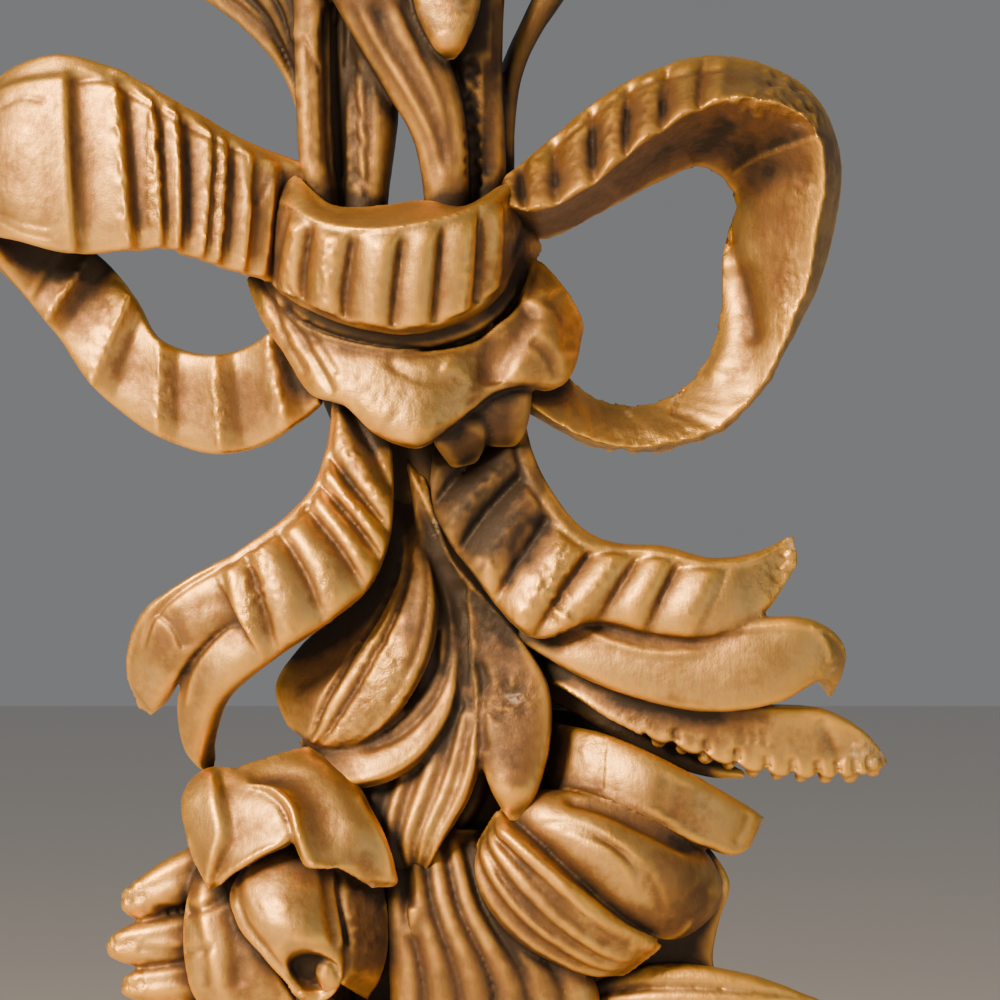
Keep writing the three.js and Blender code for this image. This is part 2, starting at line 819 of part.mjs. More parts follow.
// Ground: behind the knot, narrow between the tails, wide behind the flowers, then tapering
const groundRows = [
  [44, -30, 34, 36],
  [20, -44, 48, 48],
  [-30, -50, 56, 54],
  [-90, -30, 44, 56],
  [-150, -24, 58, 46],
  [-210, -34, 88, 40],
  [-240, -58, 112, 42],
  [-270, -92, 128, 44],
  [-340, -104, 128, 46],
  [-430, -84, 110, 46],
  [-500, -46, 66, 38],
  [-552, -20, 30, 22],
];

// Hearts that the petals stand on: left flower, right flower, and the knot
const leftHeart = [
  [-244, -88, -28, 50],
  [-266, -102, -14, 80],
  [-310, -104, -10, 84],
  [-350, -98, -18, 70],
  [-392, -84, -30, 40],
];
const rightHeart = [
  [-206, 50, 100, 36],
  [-244, 34, 140, 62],
  [-290, 40, 150, 70],
  [-330, 46, 146, 58],
  [-372, 60, 130, 36],
];
const knotHeart = [
  [43, -38, 54, 48],
  [26, -62, 58, 74],
  [0, -62, 60, 88],
  [-40, -48, 60, 74],
  [-66, -34, 44, 46],
];

const wasm = await Module();
wasm.setup();

const solid = (geometry) =>
  new wasm.Manifold(
    new wasm.Mesh({
      numProp: 3,
      vertProperties: geometry.getAttribute("position").array,
      triVerts: new Uint32Array(geometry.index.array),
    }),
  );

const carving = [
  ground(groundRows),
  ...[leftHeart, rightHeart, knotHeart].map((rows) => ground(rows)),
  leftLoop(),
  rightLoop(),
  knot(),
  knotDrape(),
  ...drapeFolds(),
  leftTail(),
  ...leftTailTips(),
  rightTail(),
  ...rightTailTips(),
  ...centreLeaves(),
  ...leftFlower(),
  ...fingerLeaf(),
  ...rightFlower(),
  ...sheaf(),
  strands(),
  ...lowerEnd(),
];

const joined = carving.map(solid).reduce((whole, piece) => whole.add(piece));
const fused = joined.getMesh();
const geometry = new THREE.BufferGeometry();
geometry.setAttribute("position", new THREE.BufferAttribute(fused.vertProperties, 3));
geometry.setIndex(new THREE.BufferAttribute(fused.triVerts, 1));
geometry.computeVertexNormals();

const antiqueGold = new THREE.MeshStandardMaterial({ color: 0xa87b45, roughness: 0.42, metalness: 0.85 });
const bouquet = new THREE.Mesh(geometry, antiqueGold);
bouquet.name = "bouquet_drop";

const ornament = new THREE.Group();
ornament.add(bouquet);

export default ornament;
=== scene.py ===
"""Carved giltwood wall ornament: a bouquet hung head down, its stems tied with a crimped ribbon bow."""

import json
import math

import bpy
import numpy as np
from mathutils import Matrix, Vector

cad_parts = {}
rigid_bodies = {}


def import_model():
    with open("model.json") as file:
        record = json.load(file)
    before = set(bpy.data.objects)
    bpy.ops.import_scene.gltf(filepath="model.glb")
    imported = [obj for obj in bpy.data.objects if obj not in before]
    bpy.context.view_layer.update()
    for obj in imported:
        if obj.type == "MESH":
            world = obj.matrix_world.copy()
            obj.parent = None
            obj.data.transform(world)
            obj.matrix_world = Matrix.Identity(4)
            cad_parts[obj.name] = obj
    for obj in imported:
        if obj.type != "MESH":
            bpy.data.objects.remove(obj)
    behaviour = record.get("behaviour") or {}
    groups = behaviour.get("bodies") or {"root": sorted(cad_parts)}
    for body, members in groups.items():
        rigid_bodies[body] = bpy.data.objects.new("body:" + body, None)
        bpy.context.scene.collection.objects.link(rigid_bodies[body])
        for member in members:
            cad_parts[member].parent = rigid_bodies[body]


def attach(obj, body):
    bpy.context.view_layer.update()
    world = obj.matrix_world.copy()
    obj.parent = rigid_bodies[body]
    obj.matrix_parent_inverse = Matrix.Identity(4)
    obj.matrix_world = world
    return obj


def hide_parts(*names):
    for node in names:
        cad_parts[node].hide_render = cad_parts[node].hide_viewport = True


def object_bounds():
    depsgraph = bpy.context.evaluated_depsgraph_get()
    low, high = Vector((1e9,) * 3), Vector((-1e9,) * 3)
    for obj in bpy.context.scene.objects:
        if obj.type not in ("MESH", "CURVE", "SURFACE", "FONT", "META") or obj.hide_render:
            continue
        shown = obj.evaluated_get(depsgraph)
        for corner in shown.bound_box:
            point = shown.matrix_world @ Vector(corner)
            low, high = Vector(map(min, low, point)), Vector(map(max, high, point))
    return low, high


bl_info = {
    "name": "Giltwood bouquet drop",
    "version": (1, 0, 0),
    "blender": (4, 5, 0),
    "location": "View3D > Sidebar > Bouquet",
    "description": "Carves and gilds a bouquet wall ornament with a ribbon bow",
    "category": "Add Mesh",
}

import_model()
CAD_BOX = [list(corner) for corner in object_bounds()]
SOLID = "bouquet_drop"
BODY = "root"

# The ornament is laid out on a drawing on which it is 850 units tall, as its solid is.
# A place is [x, z, depth]: right of the knot, above it, and out from the wall.
DRAWING_HEIGHT = 850
UNIT = (CAD_BOX[1][2] - CAD_BOX[0][2]) / DRAWING_HEIGHT
MM = 0.001

# How a blade's thickness falls off towards its edges and its two ends
EDGE_SHARE = 0.5
TIP_SHARE = 0.3
TIP_LENGTH = 0.16

# The notched leaf, the lowest of the right tail's ends: its edges, its teeth and where they stand along it
TOOTHED_LEAF = [
    [48, -166, 34, 44, -180, 34, 0],
    [80, -180, 52, 76, -194, 52, 0],
    [110, -194, 64, 106, -212, 62, 1],
    [140, -200, 70, 142, -226, 66, 1],
    [175, -202, 72, 178, -236, 66, 1],
    [205, -204, 70, 208, -238, 64, 1],
    [225, -214, 66, 228, -236, 62, 1],
    [238, -228, 61, 239, -231, 60, 0],
]
TEETH = 10
TOOTHED_STRETCH = (0.33, 0.93)

# Share of a piece's faces that is left once the side that faces the wall is thinned
FACES_KEPT = 0.68

# Distance between the points of a form as it is lofted, finer on the carving than on the ground
PITCH = 0.7 * MM
GROUND_PITCH = 1.5 * MM

# A knife stroke is followed in steps of this length, and an overlap's upper edge is this sharp
STROKE_STEP = 1.0 * MM
OVERLAP_EDGE = 0.7 * MM

# The pits of the granular places, and the small dimples as a share of the tool's facets
PIT_SIZE = 1.5 * MM
PIT_DEPTH = 0.35 * MM
DIMPLE_SHARE = 0.3

# Ageing lays glaze and painted shade in the hollows, and wear and painted highlights on crests
# Ageing looks at the surface in cells, and at how it curves within a few and within many steps of the mesh
CELL = 1.0 * MM
MARGIN = 20 * MM
FINE_STEPS = 5
BROAD_STEPS = 40

# A point is sunk once it lies this far behind the mean front within so many cells of it; sunk places get
# painted shade
NEAR_CELLS = 3
NEAR_DROP = 6 * MM
FAR_CELLS = 8
FAR_DROP = 16 * MM

# The studio: the gap from the ornament down to the floor, and the lamps' places from the picture's middle
FLOOR_GAP = 0.06
KEY_PLACE = (-0.9, -1.05, 0.65)
FILL_PLACE = (0.9, -0.8, -0.1)


# Curves and noise


def smooth(x):
    """An even step from 0 to 1."""
    c = np.clip(x, 0.0, 1.0)
    return c * c * (3 - 2 * c)


def curve(points, t):
    """Centripetal Catmull-Rom curve through the points, at each t from 0 to 1."""
    points = np.asarray(points, float)
    last = len(points) - 1
    place = np.clip(t, 0, 1) * last
    i = np.minimum(place.astype(int), last - 1)
    w = place - i
    padded = np.vstack([2 * points[0] - points[1], points, 2 * points[-1] - points[-2]])
    p0, p1, p2, p3 = (padded[i + k] for k in range(4))
    d1 = np.maximum(np.sum((p2 - p1) ** 2, axis=1) ** 0.25, 1e-4)
    d0 = np.sum((p1 - p0) ** 2, axis=1) ** 0.25
    d2 = np.sum((p3 - p2) ** 2, axis=1) ** 0.25
    d0 = np.where(d0 < 1e-4, d1, d0)[:, None]
    d2 = np.where(d2 < 1e-4, d1, d2)[:, None]
    d1 = d1[:, None]
    m1 = ((p1 - p0) / d0 - (p2 - p0) / (d0 + d1) + (p2 - p1) / d1) * d1
    m2 = ((p2 - p1) / d1 - (p3 - p1) / (d1 + d2) + (p3 - p2) / d2) * d1
    w = w[:, None]
    return p1 + m1 * w + (3 * (p2 - p1) - 2 * m1 - m2) * w**2 + (2 * (p1 - p2) + m1 + m2) * w**3


def speckle(u, v, seed=0):
    """Smooth random value from -1 to 1 with one new value for each whole step of u and v."""
    rng = np.random.default_rng(seed)
    table = rng.uniform(-1, 1, (97, 89))
    u, v = np.broadcast_arrays(np.asarray(u, float), np.asarray(v, float))
    iu, iv = np.floor(u).astype(int), np.floor(v).astype(int)
    fu, fv = smooth(u - iu), smooth(v - iv)

    def at(a, b):
        return table[a % table.shape[0], b % table.shape[1]]

    low = at(iu, iv) * (1 - fu) + at(iu + 1, iv) * fu
    high = at(iu, iv + 1) * (1 - fu) + at(iu + 1, iv + 1) * fu
    return low * (1 - fv) + high * fv


# Relief: each gives the height of the carving, in metres, at t along a form and s across it


def pleats(ridges, depth, slow_before=True, slant=(0.0, 0.0), rim=0.0, lobed=False):
    """Crimps at the given places along a ribbon. Gouged ones are hollow: a long scoop climbs to a crisp crest
    and drops short behind it. Lobed ones are rounded, with narrow valleys at the given places. They lean by
    slant, its first value near the ribbon's start and its second from about halfway on, vary in height, and
    stop short of the first edge by rim."""
    ridges = np.asarray(ridges, float)
    rng = np.random.default_rng(len(ridges))
    swell = rng.uniform(0.75, 1.15, len(ridges) + 1)
    gaps = np.diff(ridges)
    shares = np.clip(gaps / np.median(gaps), 0.45, 1.0)

    def relief(t, s):
        lean = slant[0] + (slant[1] - slant[0]) * smooth((t - 0.2) / 0.25)
        wander = 0.1 * np.min(gaps) * speckle(s * 3, t * 0 + 5, 3)
        x = t - lean * (s - 0.5) + wander
        i = np.clip(np.searchsorted(ridges, x) - 1, 0, len(ridges) - 2)
        u = np.clip((x - ridges[i]) / (ridges[i + 1] - ridges[i]), 0, 1)
        if not slow_before:
            u = 1 - u
        before = swell[i] if slow_before else swell[i + 1]
        after = swell[i + 1] if slow_before else swell[i]
        if lobed:
            height = (before + after) / 2 * np.sin(np.pi * (1 - u) ** 0.72) ** 0.75 - 0.6
            crest = smooth((height - 0.2) / 0.3)
        else:
            fall = before * np.clip((0.4 - u) / 0.4, 0, 1) ** 1.5
            climb = after * np.clip((u - 0.16) / 0.84, 0, 1) ** 1.6
            profile = np.maximum(fall, climb)
            crest = smooth((profile - 0.6) / 0.4)
            height = profile + (0.9 - profile) * (1 - shares[i]) - 0.38
        inside = smooth((x - ridges[0]) / 0.015) * smooth((ridges[-1] - x) / 0.015)
        window = smooth((s - rim) / 0.05) if rim else 1.0
        grain = 0.15 * crest * speckle(t * 260, s * 26, 9)
        return depth * (height + grain) * inside * window

    return relief


def grooves(across, depth, width=0.05):
    """V cuts along a form at the given places across it."""

    def relief(t, s):
        fade = smooth(t / 0.12) * smooth((1 - t) / 0.1)
        return -depth * fade * sum(np.exp(-(((s - p) / width) ** 2)) for p in across)

    return relief


def strands(count, depth):
    """Even rounded strands along a form."""
    return lambda t, s: depth * smooth(t / 0.1) * (np.abs(np.sin(np.pi * count * s)) ** 0.7 - 0.6)


def cupped(depth, lift=0.0):
    """A hollow face between raised edges; lift tilts its second edge forward."""
    return lambda t, s: depth * ((2 * s - 1) ** 2 - 0.5) + lift * (s - 0.5)


def rim_line(place, depth, width=0.03):
    """A thin step that leaves a raised rim along the first edge."""
    return lambda t, s: -depth * smooth((s - place) / width) * smooth((0.98 - t) / 0.05)


def torn(low, high, depth, seed):
    """Rough torn carving between two places along a form."""

    def relief(t, s):
        window = smooth((t - low) / 0.02) * smooth((high - t) / 0.02) * smooth(s / 0.1)
        coarse = speckle(t * 95, s * 6, seed)
        fine = speckle(t * 240, s * 15, seed + 1)
        return -depth * window * (0.5 + 0.5 * coarse + 0.35 * fine)

    return relief


def both(*reliefs):
    """Several reliefs on one form."""
    return lambda t, s: sum(relief(t, s) for relief in reliefs)


# Lofts: a form is vertices and faces, closed and facing outwards


def places(rows):
    """Places on the drawing as points in metres."""
    rows = np.asarray(rows, float)
    return np.stack([rows[:, 0], -rows[:, 2], rows[:, 1]], axis=1) * UNIT


def loft(rings):
    """Joins equal rings of points one after another and closes both ends."""
    count, ring, _ = rings.shape
    verts = rings.reshape(-1, 3)
    j, i = np.meshgrid(np.arange(count - 1), np.arange(ring), indexing="ij")
    a, b = j * ring + i, j * ring + (i + 1) % ring
    faces = np.stack([a, b, b + ring, a + ring], axis=-1).reshape(-1, 4)
    middle = verts.mean(axis=0)
    p = verts[faces] - middle
    volume = np.einsum("ij,ij->", p[:, 0], np.cross(p[:, 1], p[:, 2]))
    volume += np.einsum("ij,ij->", p[:, 0], np.cross(p[:, 2], p[:, 3]))
    ends = [list(range(ring))[::-1], list(range((count - 1) * ring, count * ring))]
    faces = [list(f) for f in faces.tolist()] + ends
    if volume < 0:
        faces = [f[::-1] for f in faces]
    return verts, faces


def blade(rows, thick, relief=None, two_sided=False, tips=(0, 1), teeth=None):
    """A strip between two edge curves, as in the solid. Each row is one place on each edge, in drawing units,
    and how far the strip bulges between them: [x, z, depth, x, z, depth, crown]. Teeth are rounded ones on
    the second edge: how many, the depth of a notch and where along the strip they begin and end."""
    rows = [list(r) + [0] * (7 - len(r)) for r in rows]
    first, second = places([r[0:3] for r in rows]), places([r[3:6] for r in rows])
    length = np.linalg.norm(np.diff((first + second) / 2, axis=0), axis=1).sum()
    width = np.linalg.norm(second - first, axis=1).max()
    t = np.linspace(0, 1, max(10, int(length / PITCH)) + 1)
    s = np.linspace(0, 1, max(6, int(width / PITCH)) + 1)
    a, b = curve(first, t), curve(second, t)
    if teeth:
        count, notch, low, high = teeth
        share = np.clip((t - low) / (high - low), 0, 1) * count
        bite = notch * (1 - np.abs(np.sin(np.pi * share)) ** 0.55) * (share > 0) * (share < count)
        b = b + (a - b) / np.maximum(np.linalg.norm(a - b, axis=1), 1e-9)[:, None] * bite[:, None]
    crown = curve([[r[6] * UNIT, 0] for r in rows], t)[:, 0]
    ahead = np.gradient((a + b) / 2, axis=0)
    normal = np.cross(ahead, b - a)
    normal /= np.maximum(np.linalg.norm(normal, axis=1), 1e-9)[:, None]
    normal *= 1 if normal[0, 1] < 0 else -1
    taper = np.ones(len(t))
    if tips[0]:
        taper = np.minimum(taper, TIP_SHARE + (1 - TIP_SHARE) * smooth(t / TIP_LENGTH))
    if tips[1]:
        taper = np.minimum(taper, TIP_SHARE + (1 - TIP_SHARE) * smooth((1 - t) / TIP_LENGTH))
    bow = 1 - (2 * s - 1) ** 2
    swell = EDGE_SHARE + (1 - EDGE_SHARE) * np.sqrt(1 - (2 * s - 1) ** 4)
    half = thick / 2 * taper[:, None] * swell[None, :]
    carved = relief(t[:, None], s[None, :]) if relief else 0.0
    rise = crown[:, None] * bow[None, :]
    on = a[:, None, :] * (1 - s)[None, :, None] + b[:, None, :] * s[None, :, None]
    top = on + normal[:, None, :] * (rise + half + carved)[:, :, None]
    under = on + normal[:, None, :] * ((rise - half + carved) if two_sided else -half)[:, :, None]
    return loft(np.concatenate([top, under[:, ::-1]], axis=1))


def body(rows, reliefs, round_at, ragged=()):
    """A solid between several edge curves: its front runs over them one after another, and a straight back
    closes it. Reliefs are given by span, counted from 0. A raised span swells by round_at at its middle.
    Each ragged entry is an edge's number, a stretch of t and how far that edge wanders there."""
    rails = [places([row[k] for row in rows]) for k in range(len(rows[0]))]
    length = max(np.linalg.norm(np.diff(r, axis=0), axis=1).sum() for r in rails)
    t = np.linspace(0, 1, int(length / PITCH) + 1)
    lines = [curve(r, t) for r in rails]
    for edge, low, high, reach in ragged:
        window = smooth((t - low) / 0.03) * smooth((high - t) / 0.03)
        chips = speckle(t * 120, t * 0 + edge, 31) + 0.6 * speckle(t * 47, t * 0 + edge, 32)
        outward = lines[edge] - lines[edge].mean(axis=0)
        outward /= np.linalg.norm(outward, axis=1)[:, None]
        lines[edge] = lines[edge] + outward * (reach * chips * window)[:, None]
    parts = [lines[0][:, None, :]]
    for k in range(len(lines) - 1):
        a, b = lines[k], lines[k + 1]
        width = np.linalg.norm(b - a, axis=1).max()
        s = np.linspace(0, 1, max(3, int(width / PITCH)) + 1)[1:]
        normal = np.cross(np.gradient(a, axis=0), b - a)
        normal /= np.maximum(np.linalg.norm(normal, axis=1), 1e-9)[:, None]
        normal *= np.where(normal[:, 1:2] < 0, 1, -1)
        strip = a[:, None, :] * (1 - s)[None, :, None] + b[:, None, :] * s[None, :, None]
        rise = round_at * (1 - (2 * s - 1) ** 2)[None, :] * np.ones((len(t), 1))
        if k in reliefs:
            rise = rise + reliefs[k](t[:, None], s[None, :])
        parts.append(strip + normal[:, None, :] * rise[:, :, None])
    return loft(np.concatenate(parts, axis=1))


def ground(rows):
    """Half-round sections with a flat back on the wall. Each row is [z, left, right, depth]."""
    rows = np.asarray(rows, float)
    t = np.linspace(0, 1, int((rows[0, 0] - rows[-1, 0]) * UNIT / GROUND_PITCH) + 1)
    z, left, right, depth = (curve(np.stack([rows[:, k], rows[:, 0] * 0], axis=1), t)[:, 0] for k in range(4))
    turn = np.linspace(0, math.pi, 28)
    x = ((left + right) / 2)[:, None] - ((right - left) / 2)[:, None] * np.cos(turn)
    y = -depth[:, None] * np.sin(turn)
    return loft(np.stack([x, y, z[:, None] + 0 * x], axis=-1) * UNIT)


# Knife strokes and patches: lines and ovals on the drawing, on the front of a fused piece


def cut(points, depth, width):
    """A V cut along a line, its depth and half width in millimetres."""
    return "cut", points, depth * MM, width * MM


def ridge(points, depth, width):
    """A thin line left standing."""
    return "ridge", points, depth * MM, width * MM


def step(points, depth, width):
    """An overlap: the ground on the right of the line, looking along it, drops and comes back over width."""
    return "step", points, depth * MM, width * MM


def engrave(points, normals, strokes):
    """How far each stroke moves each point along its normal, in metres."""
    flat = points[:, [0, 2]]
    facing = smooth((-normals[:, 1] - 0.15) / 0.35)
    move = np.zeros(len(points))
    for kind, line, depth, width in strokes:
        line = np.asarray(line, float) * UNIT
        length = np.linalg.norm(np.diff(line, axis=0), axis=1).sum()
        path = curve(line, np.linspace(0, 1, max(4, int(length / STROKE_STEP)) + 1))
        reach = width * (1.2 if kind == "step" else 2.6)
        inside = np.all((flat > path.min(axis=0) - reach) & (flat < path.max(axis=0) + reach), axis=1)
        near = np.flatnonzero(inside & (facing > 0))
        if not len(near):
            continue
        here = flat[near]
        begin, along = path[:-1], np.diff(path, axis=0)
        best = np.full(len(near), 1e9)
        share, side = np.zeros(len(near)), np.ones(len(near))
        for j in range(len(begin)):
            off = here - begin[j]
            size = along[j] @ along[j]
            w = np.clip((off @ along[j]) / size, 0, 1)
            gap = np.linalg.norm(off - w[:, None] * along[j], axis=1)
            closer = gap < best
            best[closer] = gap[closer]
            share[closer] = ((j + w) / len(begin))[closer]
            turn = along[j][0] * off[:, 1] - along[j][1] * off[:, 0]
            side[closer] = np.sign(turn[closer])
        fade = smooth(share / 0.12) * smooth((1 - share) / 0.12)
        if kind == "step":
            shape = -smooth(best / OVERLAP_EDGE) * (1 - smooth(best / width)) * (side < 0)
        else:
            shape = np.exp(-((best / width) ** 2)) * (1 if kind == "ridge" else -1)
        move[near] += depth * fade * shape * facing[near]
    return move


def spread(points, ovals, base=0.0):
    """How strongly the surface differs at each point. It is granular, under thick glaze with painted shade or
    rubbed bare in soft ovals on the drawing: [x, z, half width, half height, amount]. Glaze amounts below
    zero lift the tone as painted light."""
    total = np.full(len(points), base)
    x, z = points[:, 0] / UNIT, points[:, 2] / UNIT
    for middle_x, middle_z, wide, tall, amount in ovals:
        distance = np.sqrt(((x - middle_x) / wide) ** 2 + ((z - middle_z) / tall) ** 2)
        distance += 0.18 * speckle(x / 5, z / 5, 17)
        mask = 1 - smooth((distance - 0.55) / 0.6)
        total = np.maximum(total, base + amount * mask) if amount > 0 else total + amount * mask
    return total


# Node trees


def add(tree, kind, inputs=None, **settings):
    """Adds a node with its settings; inputs maps a socket's name or number to a value or another socket."""
    node = tree.nodes.new(kind)
    for name, value in settings.items():
        setattr(node, name, value)
    for key, value in (inputs or {}).items():
        socket = node.inputs[key]
        if isinstance(value, bpy.types.NodeSocket):
            tree.links.new(value, socket)
        else:
            socket.default_value = value
    return node


def maths(tree, operation, *values, clamp=False):
    """The result of a Math node on values or sockets."""
    node = add(tree, "ShaderNodeMath", dict(enumerate(values)), operation=operation, use_clamp=clamp)
    return node.outputs[0]


def noise(tree, where, scale, detail, roughness=0.5):
    """Noise from 0 to 1; one over its scale is its size in metres."""
    return add(tree, "ShaderNodeTexNoise", {
        "Vector": where, "Scale": scale, "Detail": detail, "Roughness": roughness})


def mixed(tree, factor, first, second, blend="MIX"):
    """The colour between two colours."""
    node = add(tree, "ShaderNodeMix", {"Factor": factor, 6: first, 7: second}, data_type="RGBA",
               blend_type=blend)
    return node.outputs[2]


def geometry_tree(name, sizes):
    """A geometry tree with a named input for each size, and its input and output nodes."""
    tree = bpy.data.node_groups.new(name, "GeometryNodeTree")
    tree.interface.new_socket("Geometry", in_out="INPUT", socket_type="NodeSocketGeometry")
    for label, (kind, value) in sizes.items():
        socket = tree.interface.new_socket(label, in_out="INPUT", socket_type=kind)
        socket.default_value = value
    tree.interface.new_socket("Geometry", in_out="OUTPUT", socket_type="NodeSocketGeometry")
    return tree, add(tree, "NodeGroupInput"), add(tree, "NodeGroupOutput")


def finish_tree(tree, outgoing, geometry, material):
    """Ends a tree with real geometry in the given material."""
    real = add(tree, "GeometryNodeRealizeInstances", {"Geometry": geometry})
    coated = add(tree, "GeometryNodeSetMaterial", {"Geometry": real.outputs[0], "Material": material})
    tree.links.new(coated.outputs[0], outgoing.inputs[0])


def turn_ring(material):
    """Repeats a petal round the middle of its flower."""
    tree, given, outgoing = geometry_tree("Petals round a middle", {
        "Petals": ("NodeSocketInt", 5),
        "First turn": ("NodeSocketFloat", 0.0),
        "Middle": ("NodeSocketVector", (0, 0, 0)),
    })
    points = add(tree, "GeometryNodeMeshLine", {"Count": given.outputs["Petals"], "Offset": (0, 0, 0)})
    index = add(tree, "GeometryNodeInputIndex")
    share = maths(tree, "DIVIDE", index.outputs[0], given.outputs["Petals"])
    angle = maths(tree, "MULTIPLY_ADD", share, 2 * math.pi, given.outputs["First turn"])
    turn = add(tree, "ShaderNodeCombineXYZ", {"Y": angle})
    placed = add(tree, "GeometryNodeInstanceOnPoints", {
        "Points": points.outputs[0], "Instance": given.outputs["Geometry"], "Rotation": turn.outputs[0]})
    moved = add(tree, "GeometryNodeTransform", {
        "Geometry": placed.outputs[0], "Translation": given.outputs["Middle"]})
    finish_tree(tree, outgoing, moved.outputs[0], material)
    return tree


def bead_row(material):
    """Beads of wood left standing at even steps along an edge."""
    tree, given, outgoing = geometry_tree("Beads along an edge", {
        "Beads": ("NodeSocketInt", 9),
        "Bead radius": ("NodeSocketFloat", 0.002),
        "Reach along": ("NodeSocketFloat", 1.0),
        "Seed": ("NodeSocketInt", 4),
    })
    line = add(tree, "GeometryNodeMeshToCurve", {"Mesh": given.outputs["Geometry"]})
    even = add(tree, "GeometryNodeCurveToPoints", {"Curve": line.outputs[0], "Count": given.outputs["Beads"]})
    bead = add(tree, "GeometryNodeMeshIcoSphere", {"Radius": given.outputs["Bead radius"], "Subdivisions": 2})
    vary = add(tree, "FunctionNodeRandomValue", {2: 0.85, 3: 1.15, "Seed": given.outputs["Seed"]})
    size = add(tree, "ShaderNodeCombineXYZ", {
        "X": given.outputs["Reach along"], "Y": vary.outputs[1], "Z": vary.outputs[1]})
    placed = add(tree, "GeometryNodeInstanceOnPoints", {
        "Points": even.outputs[0], "Instance": bead.outputs[0], "Rotation": even.outputs[3],
        "Scale": size.outputs[0]})
    finish_tree(tree, outgoing, placed.outputs[0], material)
    return tree


def tool_marks(material):
    """The carver's hand: shallow facets and a slight unevenness all over the surface."""
    tree, given, outgoing = geometry_tree("Tool marks", {
        "Facet size": ("NodeSocketFloat", 0.007),
        "Facet depth": ("NodeSocketFloat", 0.0003),
        "Dimple size": ("NodeSocketFloat", 0.0022),
        "Dimple depth": ("NodeSocketFloat", 0.00012),
    })
    at = add(tree, "GeometryNodeInputPosition")
    normal = add(tree, "GeometryNodeInputNormal")
    heights = []
    for size, depth in (("Facet size", "Facet depth"), ("Dimple size", "Dimple depth")):
        bumps = noise(tree, at.outputs[0], maths(tree, "DIVIDE", 1.0, given.outputs[size]), 1.0)
        centred = maths(tree, "SUBTRACT", bumps.outputs[0], 0.5)
        heights.append(maths(tree, "MULTIPLY", centred, given.outputs[depth]))
    push = add(tree, "ShaderNodeVectorMath", {0: normal.outputs[0], "Scale": maths(tree, "ADD", *heights)},
               operation="SCALE")
    moved = add(tree, "GeometryNodeSetPosition", {
        "Geometry": given.outputs["Geometry"], "Offset": push.outputs[0]})
    finish_tree(tree, outgoing, moved.outputs[0], material)
    return tree


def mesh_object(name, verts, faces, edges=()):
    """A new object in the scene from points, faces and loose edges."""
    mesh = bpy.data.meshes.new(name)
    mesh.from_pydata([tuple(v) for v in np.asarray(verts).tolist()], list(edges), faces)
    mesh.update()
    made = bpy.data.objects.new(name, mesh)
    bpy.context.scene.collection.objects.link(made)
    return made


def settle(made):
    """Turns an object and its modifiers into a plain mesh."""
    bpy.context.view_layer.update()
    evaluated = made.evaluated_get(bpy.context.evaluated_depsgraph_get())
    mesh = bpy.data.meshes.new_from_object(evaluated)
    made.modifiers.clear()
    old = made.data
    made.data = mesh
    bpy.data.meshes.remove(old)
    return made


def grow(made, tree, values):
    """Runs a geometry tree on an object with its inputs set by name."""
    modifier = made.modifiers.new(tree.name, "NODES")
    modifier.node_group = tree
    sockets = {item.name: item.identifier for item in tree.interface.items_tree if item.in_out == "INPUT"}
    for label, value in values.items():
        modifier[sockets[label]] = value
    return settle(made)


def taken(made):
    """A form from an object, which is removed."""
    verts = np.empty(len(made.data.vertices) * 3)
    made.data.vertices.foreach_get("co", verts)
    faces = [list(p.vertices) for p in made.data.polygons]
    mesh = made.data
    bpy.data.objects.remove(made)
    bpy.data.meshes.remove(mesh)
    return verts.reshape(-1, 3), faces


def thin_behind(made):
    """Spends fewer faces on the side that faces the wall."""
    mesh = made.data
    normals = read(mesh, "vertex_normals", len(mesh.vertices), 3)
    behind = made.vertex_groups.new(name="behind")
    behind.add(np.flatnonzero(normals[:, 1] > 0.25).tolist(), 1.0, "REPLACE")
    thin = made.modifiers.new("Thin", "DECIMATE")
    thin.ratio = FACES_KEPT
    thin.vertex_group = behind.name
    settle(made)
    made.vertex_groups.clear()


def carve(name, forms, strokes, patches, coarseness, toned, rounds):
    """Cuts the joined forms from one block: they fuse, their junctions soften, the knife adds its strokes
    and the tool leaves its marks."""
    sizes = bpy.context.scene.bouquet_carving
    material = antique_gold()
    verts, faces, base = [], [], 0
    for form_verts, form_faces in forms:
        verts.append(form_verts)
        faces.extend([[i + base for i in f] for f in form_faces])
        base += len(form_verts)
    made = mesh_object(name, np.vstack(verts), faces)
    fuse = made.modifiers.new("Fuse", "REMESH")
    fuse.mode = "VOXEL"
    fuse.voxel_size = sizes.grit * coarseness
    soften = made.modifiers.new("Soften", "SMOOTH")
    soften.factor = 0.5
    soften.iterations = rounds
    settle(made)
    thin_behind(made)
    mesh = made.data
    points = read(mesh, "vertices", len(mesh.vertices), 3)
    normals = read(mesh, "vertex_normals", len(mesh.vertices), 3)
    grain = spread(points, patches.get("grain", ()))
    pitted = speckle(points[:, 0] / PIT_SIZE, points[:, 2] / PIT_SIZE, 41)
    move = engrave(points, normals, strokes) + PIT_DEPTH * np.minimum(grain, 1) * pitted
    mesh.vertices.foreach_set("co", (points + normals * move[:, None]).ravel())
    mesh.update()
    grow(made, tool_marks(material), {
        "Facet size": sizes.facet_size,
        "Facet depth": sizes.facet_depth,
        "Dimple size": sizes.facet_size * DIMPLE_SHARE,
        "Dimple depth": sizes.facet_depth * DIMPLE_SHARE,
    })
    made.data.shade_smooth()
    if not made.data.materials:
        made.data.materials.append(material)
    # Toned places hold the piece's base tone and glaze patches, which also paint shade under overhangs and
    # light where an amount is below zero
    for kind, values in (
        ("grain", grain),
        ("toned", spread(points, patches.get("glaze_and_shade", ()), toned)),
        ("bare", spread(points, patches.get("bare", ()))),
    ):
        layer = made.data.attributes.new(kind, "FLOAT", "POINT")
        layer.data.foreach_set("value", values.astype(np.float32))
    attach(made, BODY)
    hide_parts(SOLID)
    made["carved"] = True
    return made
